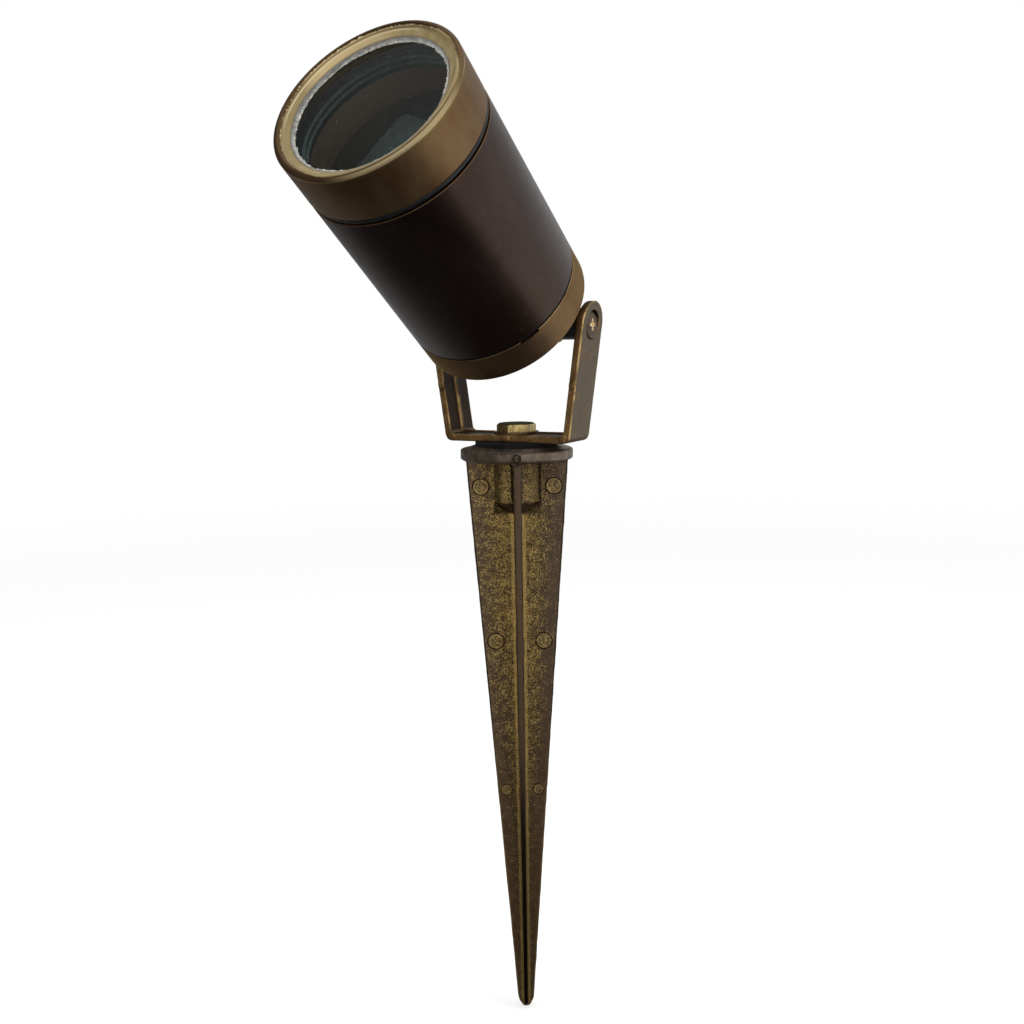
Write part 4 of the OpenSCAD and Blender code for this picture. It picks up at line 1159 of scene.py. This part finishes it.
# %% Pads and marks
PAD_R, LAST_PAD_SHARE, PAD_DROP, PAD_PITCH, PAD_PROUD = 3.0, 0.67, 10.5, 61.0, 0.24
PAD_INSET = 1.6                               # from the fin's end to a pad's middle, in its radii
MARK_R, YOKE_HALF, MARK_PROUD = 1.05, 8.55, 0.08
MARK_PLACES = ((-24.6, 8.5), (0, 8.4), (24.6, 8.5), (-27.72, 27.0), (28.0, 29.0))
FLANGE_R, FLANGE_MIDDLE = 21.5, 2.15
DIMPLE_R, MOUND_R, MARK_END_R, MARK_DEPTH = 1.0, 1.5, 1.85, 0.6

rows = []
for row in range(3):
    z = -PAD_DROP - row * PAD_PITCH
    r = PAD_R * (LAST_PAD_SHARE if row == 2 else 1)
    from_axis = FIN_REACH + z * FIN_NARROWS - PAD_INSET * r
    for fin in range(4):
        turn = SPIKE_TURN + fin * math.pi / 2
        middle = (from_axis * math.cos(turn), from_axis * math.sin(turn), z)
        rows.append((middle, r, FIN_HALF + z * FIN_THINS + PAD_PROUD, turn))
fin_pads = round_pads("fin_pads", rows, CAST_BROWN)
yoke_marks = round_pads(
    "yoke_marks", [((x, 0, z), MARK_R, YOKE_HALF + MARK_PROUD, 0) for x, z in MARK_PLACES], YOKE_BRONZE)
bpy.data.objects.remove(pad_blank)

flange_spot = (
    Matrix.Rotation(SPIKE_TURN, 4, "Z") @ Matrix.Translation((0, -FLANGE_R * MM, FLANGE_MIDDLE * MM))
    @ Matrix.Rotation(math.pi / 2, 4, "X"))
rim_mark = spin("rim_mark", [
    (ON_AXIS, -MARK_DEPTH, 0), (MARK_END_R, -MARK_DEPTH, 0), (MARK_END_R, 0.10, 0),
    (MOUND_R, 0.30, 0.1), (DIMPLE_R + 0.2, 0.33, 0.05), (DIMPLE_R, 0.16, 0), (ON_AXIS, 0.16, 0)],
    CAST_BROWN, 0, 48, flange_spot)
to_spot = flange_spot.inverted()
from_axis = np.array([(to_spot @ v.co).to_2d().length / MM for v in rim_mark.data.vertices])
# painted shade: a dark line round the dimple of the mark
mark_rings(rim_mark.data, from_axis, DIMPLE_R - 0.1, MOUND_R + 0.05, (PLAIN, SHADE_LINE, PLAIN))
print("pads:", len(rows), "on the fins,", len(fin_pads.data.polygons), "faces; on the yoke",
      len(yoke_marks.data.polygons), "faces")

# %% [markdown]
# ## Yoke
# The yoke is cast like the spike, on a finer grid, because its edges are small. Its arms lean
# out by eight degrees. The direction of each point's normal then tells which face it is on.

# %% Yoke
ARM_LEAN = math.tan(math.radians(8))
FACES_FROM, FACES_FULL = 0.75, 0.95           # how much of a normal points one way
yoke, points, normals, bend = cast_copy("yoke", "yoke_casting", 0.32, 3, YOKE_BRONZE, ARM_LEAN)
push(yoke, points, normals, 0.03 * rough_skin(points, 4, 4))
sideways = normals[:, 0] * np.sign(points[:, 0])
facings = {"outer": sideways, "inner": np.maximum(-sideways, normals[:, 2]), "front": np.abs(normals[:, 1])}
for name, facing in facings.items():
    write_attribute(yoke.data, name, np.clip((facing - FACES_FROM) / (FACES_FULL - FACES_FROM), 0, 1))
print("yoke:", len(yoke.data.polygons), "faces, sharpest bend", round(float(bend.max()), 2))

# %% [markdown]
# ## Rear cap
# The cap's shell is turned, a pry notch is cut in its rim, and two ears stand out of its back.
# The notch is a Boolean cut with a rounded block, which is simpler than an outline that changes
# round the axis. The ears are flat plates with a round end, and their edges get a Bevel.

# %% Cutting tools
def carve(piece, cutter):
    """Cuts one piece out of another and throws the cutter away."""
    cut = piece.modifiers.new("cut", "BOOLEAN")
    cut.operation, cut.solver, cut.object = "DIFFERENCE", "EXACT", cutter
    apply_modifiers(piece)
    bpy.data.objects.remove(cutter)


def block(name, size, place, matrix, bevel_mm):
    """A block in millimetres, centred on a place, with softened edges."""
    work = bmesh.new()
    shape = Matrix.Translation(Vector(place) * MM) @ Matrix.Diagonal((*[s * MM for s in size], 1))
    bmesh.ops.create_cube(work, size=1, matrix=shape)
    bmesh.ops.bevel(work, geom=work.edges[:], offset=bevel_mm * MM, segments=3, profile=0.5, affect="EDGES")
    return place_object(name, finish_mesh(work, name, matrix))


print("cutting tools ready")

# %% [markdown]
# The shell comes first, with its collar and the gland's hole in its outline. The notch lets a
# screwdriver pry the cap off the tube, so it sits in the edge where the two meet.

# %% Cap's shell
NOTCH_SIZE, NOTCH_TURN = (3.4, 7.8, 1.8), math.radians(316.5)
cap = spin("cap_shell", [
    (HEAD_R, CAP_Z, 1.2), (HEAD_R, CAP_END, 0.35), (COLLAR_R, CAP_END), (COLLAR_R, COLLAR_END, 0.3),
    (CAP_BORE_R, COLLAR_END, 0.3), (CAP_BORE_R, CAP_FLOOR, 1.5), (GLAND_HOLE_R, CAP_FLOOR),
    (GLAND_HOLE_R, CAP_Z)], CAP_BRONZE)
to_notch = HEAD @ Matrix.Rotation(NOTCH_TURN, 4, "Z")
carve(cap, block("notch_cutter", NOTCH_SIZE, (HEAD_R, 0, CAP_END), to_notch, 0.3))
smooth_by_angle(cap.data)
print("cap:", len(cap.data.polygons), "faces with its notch")

# %% [markdown]
# An ear is drawn from the side, as a half circle about the pivot over a foot that sinks into the
# shell. It is extruded and drilled, and beveled last, so that the edges of the hole are soft too.

# %% Ears
EAR_X, EAR_T, EAR_R, EAR_HOLE_R = 12.5, 6, 6.2, 2.58


def ear(name, side):
    """One ear: a plate with a round end about the pivot and a hole for its screw."""
    steps = 40
    angles = [math.pi * (1 + k / steps) for k in range(steps + 1)]
    outline = [(EAR_R * math.cos(a), EAR_R * math.sin(a)) for a in angles]
    outline += [(EAR_R + 2, CAP_Z + 0.6), (-EAR_R - 2, CAP_Z + 0.6)]
    work = bmesh.new()
    face = work.faces.new([work.verts.new((side * EAR_X * MM, y * MM, z * MM)) for y, z in outline])
    grown = bmesh.ops.extrude_face_region(work, geom=[face])["geom"]
    far_points = [part for part in grown if isinstance(part, bmesh.types.BMVert)]
    bmesh.ops.translate(work, vec=(side * EAR_T * MM, 0, 0), verts=far_points)
    bmesh.ops.recalc_face_normals(work, faces=work.faces)
    piece = new_piece(name, finish_mesh(work, name, HEAD), CAP_BRONZE)
    along_x = Matrix.Translation((0, 0, PIVOT_Z * MM)) @ Matrix.Rotation(math.pi / 2, 4, "Y")
    drill = [(ON_AXIS, -40), (EAR_HOLE_R, -40), (EAR_HOLE_R, 40), (ON_AXIS, 40)]
    carve(piece, spin("drill", drill, CAP_BRONZE, 0, 48, along_x))
    bevel = piece.modifiers.new("bevel", "BEVEL")
    bevel.width, bevel.segments = 0.4 * MM, 3
    bevel.limit_method, bevel.angle_limit = "ANGLE", math.radians(40)
    apply_modifiers(piece)
    smooth_by_angle(piece.data, 40)
    return piece


ears = [ear("ear_right", 1), ear("ear_left", -1)]
print("ears:", [len(e.data.polygons) for e in ears], "faces")

# %% [markdown]
# ## Pivot screws
# The head hangs on two equal screws, one through each arm. One screw is made: a turned pan head
# with a cross recess cut in it. Geometry Nodes then put a copy on each side, turned to face out,
# so a change to the screw changes both.

# %% The screw that is copied
SCREW_TIP, SHANK_R, SCREW_SEAT, SCREW_END, SCREW_R = 13.0, 2.5, 30.55, 32.35, 5.1
SLOT_SIZE = (4.3, 0.85, 2.4)
blank = spin("screw_blank", [
    (ON_AXIS, SCREW_TIP, 0), (SHANK_R, SCREW_TIP, 0.4), (SHANK_R, SCREW_SEAT, 0.05),
    (SCREW_R, SCREW_SEAT, 0.2), (SCREW_R, SCREW_END - 0.35, 0.6), (3.2, SCREW_END, 0.9),
    (ON_AXIS, SCREW_END, 0)], SCREW_BRONZE, 0.1, 72, Matrix.Identity(4))
for quarter in range(2):
    turned = Matrix.Rotation(quarter * math.pi / 2, 4, "Z")
    carve(blank, block("slot_cutter", SLOT_SIZE, (0, 0, SCREW_END), turned, 0.12))
smooth_by_angle(blank.data, 35)
print("one screw:", len(blank.data.polygons), "faces")

# %% [markdown]
# The tree starts from two points in one place. The first screw is laid along X and the second is
# turned by half a turn from it, and both are then lifted to the tilt axis.

# %% Pair of screws
screw_tree, given, out = new_tree("pivot_screws", [
    ("Screw", "Object"), ("Pivot height", "Float"), ("Sides", "Int"), ("Material", "Material")])
line = add_node(screw_tree, "GeometryNodeMeshLine", {
    "Count": given.outputs["Sides"], "Start Location": (0, 0, 0), "Offset": (0, 0, 0)})
number = add_node(screw_tree, "GeometryNodeInputIndex")
half_turns = add_node(screw_tree, "ShaderNodeMath", {0: number, 1: math.pi}, operation="MULTIPLY")
facing = add_node(screw_tree, "ShaderNodeCombineXYZ", {"Y": math.pi / 2, "Z": half_turns})
turned_to = add_node(screw_tree, "FunctionNodeEulerToRotation", {0: facing})
shape = add_node(screw_tree, "GeometryNodeObjectInfo", {"Object": given.outputs["Screw"]})
copies = add_node(screw_tree, "GeometryNodeInstanceOnPoints", {
    "Points": line, "Instance": shape.outputs["Geometry"], "Rotation": turned_to})
lift = add_node(screw_tree, "ShaderNodeCombineXYZ", {"Z": given.outputs["Pivot height"]})
raised = add_node(screw_tree, "GeometryNodeTransform", {"Geometry": copies, "Translation": lift})
end_tree(screw_tree, raised, given.outputs["Material"], out)
screws = grow("pivot_screw_pair", screw_tree, {
    "Screw": blank, "Pivot height": PIVOT_Z * MM, "Sides": 2, "Material": SCREW_BRONZE})
bpy.data.objects.remove(blank)
print("pivot screws:", len(screws.data.polygons), "faces")

# %% [markdown]
# ## Grip ribs on the cable gland
# A nylon gland is tightened by hand before a spanner takes it, so its dome nut has fine ribs. One
# rib is a slim cylinder, and Geometry Nodes set a ring of them round the dome.

# %% Gland ribs
RIB_COUNT, RIB_RING_R, RIB_R, RIB_LENGTH, RIB_Z = 36, 7.3, 0.28, 3.0, 2.6
rib_tree, given, out = new_tree("grip_ribs", [
    ("Count", "Int"), ("Ring radius", "Float"), ("Rib radius", "Float"), ("Rib length", "Float"),
    ("Material", "Material")])
ring = add_node(rib_tree, "GeometryNodeMeshCircle", {
    "Vertices": given.outputs["Count"], "Radius": given.outputs["Ring radius"]})
rib = add_node(rib_tree, "GeometryNodeMeshCylinder", {
    "Vertices": 8, "Radius": given.outputs["Rib radius"], "Depth": given.outputs["Rib length"]})
ribs = add_node(rib_tree, "GeometryNodeInstanceOnPoints", {"Points": ring, "Instance": rib})
end_tree(rib_tree, ribs, given.outputs["Material"], out)
grips = grow("gland_ribs", rib_tree, {
    "Count": RIB_COUNT, "Ring radius": RIB_RING_R * MM, "Rib radius": RIB_R * MM,
    "Rib length": RIB_LENGTH * MM, "Material": GLAND}, HEAD @ Matrix.Translation((0, 0, RIB_Z * MM)))
print("gland ribs:", len(grips.data.polygons), "faces")

# %% [markdown]
# ## Finishes on the other solids
# The rest of the solids have the right shape already: seals, washers, the bolt, the spacers and
# what is inside the head. They keep their meshes and get their finish.

# %% Finishes on the solids
solid_finish = {
    GASKET: ["base_gasket"],
    BELLOWS: ["glass_gasket"],
    RUBBER: ["rear_seal", "front_seal", "gland_ring", "gland_insert"],
    YOKE_BRONZE: ["clamp_washer"],
    BOLT_BRASS: ["clamp_bolt"],
    SPACER: ["pivot_spacers"],
    LAMP_METAL: ["lamp_unit"],
    PIN_METAL: ["lamp_pins", "earth_screw"],
    CERAMIC: ["lampholder", "terminal_block"],
    SLEEVE: ["leads"],
    STEEL: ["clamp_screws"],
    GLAND: ["gland_body", "gland_nut"],
}
for material, names in solid_finish.items():
    for name in names:
        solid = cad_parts[name]
        solid.data.materials.clear()
        solid.data.materials.append(material)
print("finished solids:", sum(len(names) for names in solid_finish.values()))

# %% [markdown]
# ## Who rides on what
# Every new piece rides on the body that carries it, so that the yoke turns on the spike, the head tilts in
# the yoke, and the bezel unscrews with its glass. The solids that a piece stands for are hidden.

# %% Bodies and hidden solids
dressed = [
    (spike, "root", "cast_brown", ["ground_spike"]),
    (fin_pads, "root", "cast_brown", ["ground_spike"]),
    (yoke_marks, "yoke", "yoke_bronze", ["yoke"]),
    (rim_mark, "root", "cast_brown", ["ground_spike"]),
    (yoke, "yoke", "yoke_bronze", ["yoke"]),
    (tube, "head", "housing_dark", ["housing"]),
    (tube_thread, "head", "housing_dark", []),
    (cap, "head", "cap_bronze", ["rear_cap"]),
    (ears[0], "head", "cap_bronze", ["rear_cap"]),
    (ears[1], "head", "cap_bronze", ["rear_cap"]),
    (lamp_disc, "head", "lamp_black", ["lamp_face"]),
    (square_pad, "head", "lamp_black", ["lamp_face"]),
    (screws, "head", "bolt_brass", ["pivot_screws"]),
    (grips, "head", "gland_black", []),
    (bezel, "bezel", "bezel_bronze", ["bezel"]),
    (bezel_thread, "bezel", "bezel_bronze", []),
    (glass, "bezel", "clear_glass", ["glass"]),
    (bead, "bezel", "silicone", ["sealant"]),
]
for piece, body, slot, nodes in dressed:
    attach(piece, body)
    if nodes:
        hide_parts(*nodes)
print("dressed pieces:", len(dressed))

# %% [markdown]
# ## Floor
# The lamp stands on its tip on a plain white floor. Where the camera sees the floor, itself or in
# a reflection, a little light of its own lifts it to white, so that it runs into the background.
# Its matt share still takes the lamp's soft shadow. It fades out before its edge would show.

# %% Floor
FLOOR_Z, FLOOR_R, FADE_FROM, FADE_TO = -0.2270, 3.0, 0.5, 1.6


def ray_is(tree, *kinds):
    """1 for rays of these kinds and 0 for all others."""
    path = add_node(tree, "ShaderNodeLightPath")
    first, *others = [Amount(tree, path.outputs[kind]) for kind in kinds]
    return first.most(*others)


work = bmesh.new()
bmesh.ops.create_circle(work, cap_ends=True, segments=96, radius=FLOOR_R)
floor_mesh = finish_mesh(work, "floor", Matrix.Translation((0, 0, FLOOR_Z)))
floor_white = bpy.data.materials.new("floor_white")
tree = bare_tree(floor_white)
matte = add_node(tree, "ShaderNodeBsdfDiffuse", {"Color": (0.55, 0.55, 0.55, 1)})
lift = add_node(tree, "ShaderNodeEmission", {"Color": (1, 1, 1, 1), "Strength": 0.52})
lifted = add_node(tree, "ShaderNodeAddShader", {0: matte, 1: lift})
plain = add_node(tree, "ShaderNodeBsdfDiffuse", {"Color": (0.8, 0.8, 0.8, 1)})
shown = ray_is(tree, "Is Camera Ray", "Is Glossy Ray", "Is Transmission Ray")
both = add_node(tree, "ShaderNodeMixShader", {0: shown, 1: plain, 2: lifted})
spot = add_node(tree, "ShaderNodeTexCoord").outputs["Object"]
far = add_node(tree, "ShaderNodeVectorMath", {0: spot}, operation="LENGTH")
fade = Amount(tree, far.outputs["Value"]).step(FADE_FROM, FADE_TO)
clear = add_node(tree, "ShaderNodeBsdfTransparent")
faded = add_node(tree, "ShaderNodeMixShader", {0: fade, 1: both, 2: clear})
add_node(tree, "ShaderNodeOutputMaterial", {"Surface": faded})
floor = new_piece("floor", floor_mesh, floor_white)
print("floor at", FLOOR_Z)

# %% [markdown]
# ## Room
# Polished metal shows the room and hardly anything else. So reflections see a room that is dim on
# the left, bright on the right and a little less bright at the back. Two soft steps over the
# ray's direction make that, without a picture of a real room. Matt surfaces get plain soft light,
# and the camera itself sees white.

# %% Room
RIGHT = Matrix.Rotation(SPIKE_TURN, 3, "Z") @ Vector((1, 0, 0))
TOWARDS = Matrix.Rotation(SPIKE_TURN, 3, "Z") @ Vector((0, -1, 0))
ROOM_DIM, ROOM_LIT, ROOM_BACK, ROOM_SOFT = 0.16, 1.0, 0.6, 0.55


def share_of(tree, vector, way):
    """How far a place or a direction goes this way."""
    product = add_node(tree, "ShaderNodeVectorMath", {0: vector, 1: way}, operation="DOT_PRODUCT")
    return Amount(tree, product.outputs["Value"])


world = bpy.data.worlds.new("room")
scene.world = world
tree = bare_tree(world)
direction = add_node(tree, "ShaderNodeTexCoord").outputs["Generated"]
window_side = share_of(tree, direction, RIGHT).step(-0.85, 0.15)
back_side = share_of(tree, direction, -TOWARDS).step(0.0, 0.9)
level = (ROOM_DIM + (ROOM_LIT - ROOM_DIM) * window_side) * (1 - (1 - ROOM_BACK) * back_side)
room, soft, white = [
    add_node(tree, "ShaderNodeBackground", {"Color": (1, 1, 1, 1), "Strength": strength})
    for strength in (level, ROOM_SOFT, 1.0)]
mirrored = ray_is(tree, "Is Glossy Ray")
lit = add_node(tree, "ShaderNodeMixShader", {0: mirrored, 1: soft, 2: room})
straight = ray_is(tree, "Is Camera Ray", "Is Transmission Ray")
whole = add_node(tree, "ShaderNodeMixShader", {0: straight, 1: lit, 2: white})
add_node(tree, "ShaderNodeOutputWorld", {"Surface": whole})
print("room: from", ROOM_DIM, "on the left to", ROOM_LIT, "on the right")

# %% [markdown]
# Polished metal needs something dark to reflect, or it looks like paint. Photographers lay a
# black card, called a flag, beside the object for that. This one lies just over the floor below
# the head, and shows up only in reflections: the camera looks through it and it casts no shadow.
# It pales towards the back, so that the tube's left side keeps a faint glow.

# %% Black flag
FLAG_BLACK, FLAG_GREY = 0.07, 0.27
FLAG_LEFT, FLAG_RIGHT, FLAG_BACK, FLAG_FRONT = -1.2, 0.38, -1.2, 0.7
flag_black = bpy.data.materials.new("flag_black")
tree = bare_tree(flag_black)
spot = add_node(tree, "ShaderNodeTexCoord").outputs["Object"]
grey = FLAG_BLACK + (FLAG_GREY - FLAG_BLACK) * share_of(tree, spot, -TOWARDS).step(0.0, 0.32)
glow = add_node(tree, "ShaderNodeEmission", {"Color": (1, 1, 1, 1), "Strength": grey})
add_node(tree, "ShaderNodeOutputMaterial", {"Surface": glow})
work = bmesh.new()
for right, towards_us in ((FLAG_LEFT, FLAG_BACK), (FLAG_RIGHT, FLAG_BACK),
                          (FLAG_RIGHT, FLAG_FRONT), (FLAG_LEFT, FLAG_FRONT)):
    work.verts.new(RIGHT * right + TOWARDS * towards_us + Vector((0, 0, FLOOR_Z + 0.001)))
work.faces.new(work.verts)
flag = new_piece("flag", finish_mesh(work, "flag"), flag_black)
flag.visible_camera = flag.visible_shadow = flag.visible_diffuse = flag.visible_transmission = False
print("flag:", [round(v, 2) for v in flag.dimensions])

# %% [markdown]
# ## Lamps
# Two soft lamps stand left and right, and a third hangs over the head. They light the matt share
# of each finish only: in a reflection they would be hard bright squares.

# %% Lamps
def soft_lamp(name, right, towards_us, high, size, power):
    """A square soft lamp at a place given from the camera's point of view, aimed at the head."""
    data = bpy.data.lights.new(name, "AREA")
    data.shape, data.size, data.energy = "SQUARE", size, power
    lamp = place_object(name, data)
    lamp.location = RIGHT * right + TOWARDS * towards_us + Vector((0, 0, high))
    aim = Vector((0, -0.03, 0.06)) - lamp.location
    lamp.rotation_euler = aim.to_track_quat("-Z", "Y").to_euler()
    lamp.visible_glossy = False
    return lamp


lamps = [
    soft_lamp("lamp_right", 0.95, 0.35, 0.45, 0.55, 4.6),
    soft_lamp("lamp_left", -0.95, 0.45, 0.35, 0.55, 5.2),
    soft_lamp("lamp_top", 0.10, 0.10, 1.25, 0.80, 8.0),
]
print("soft lamps:", len(lamps))
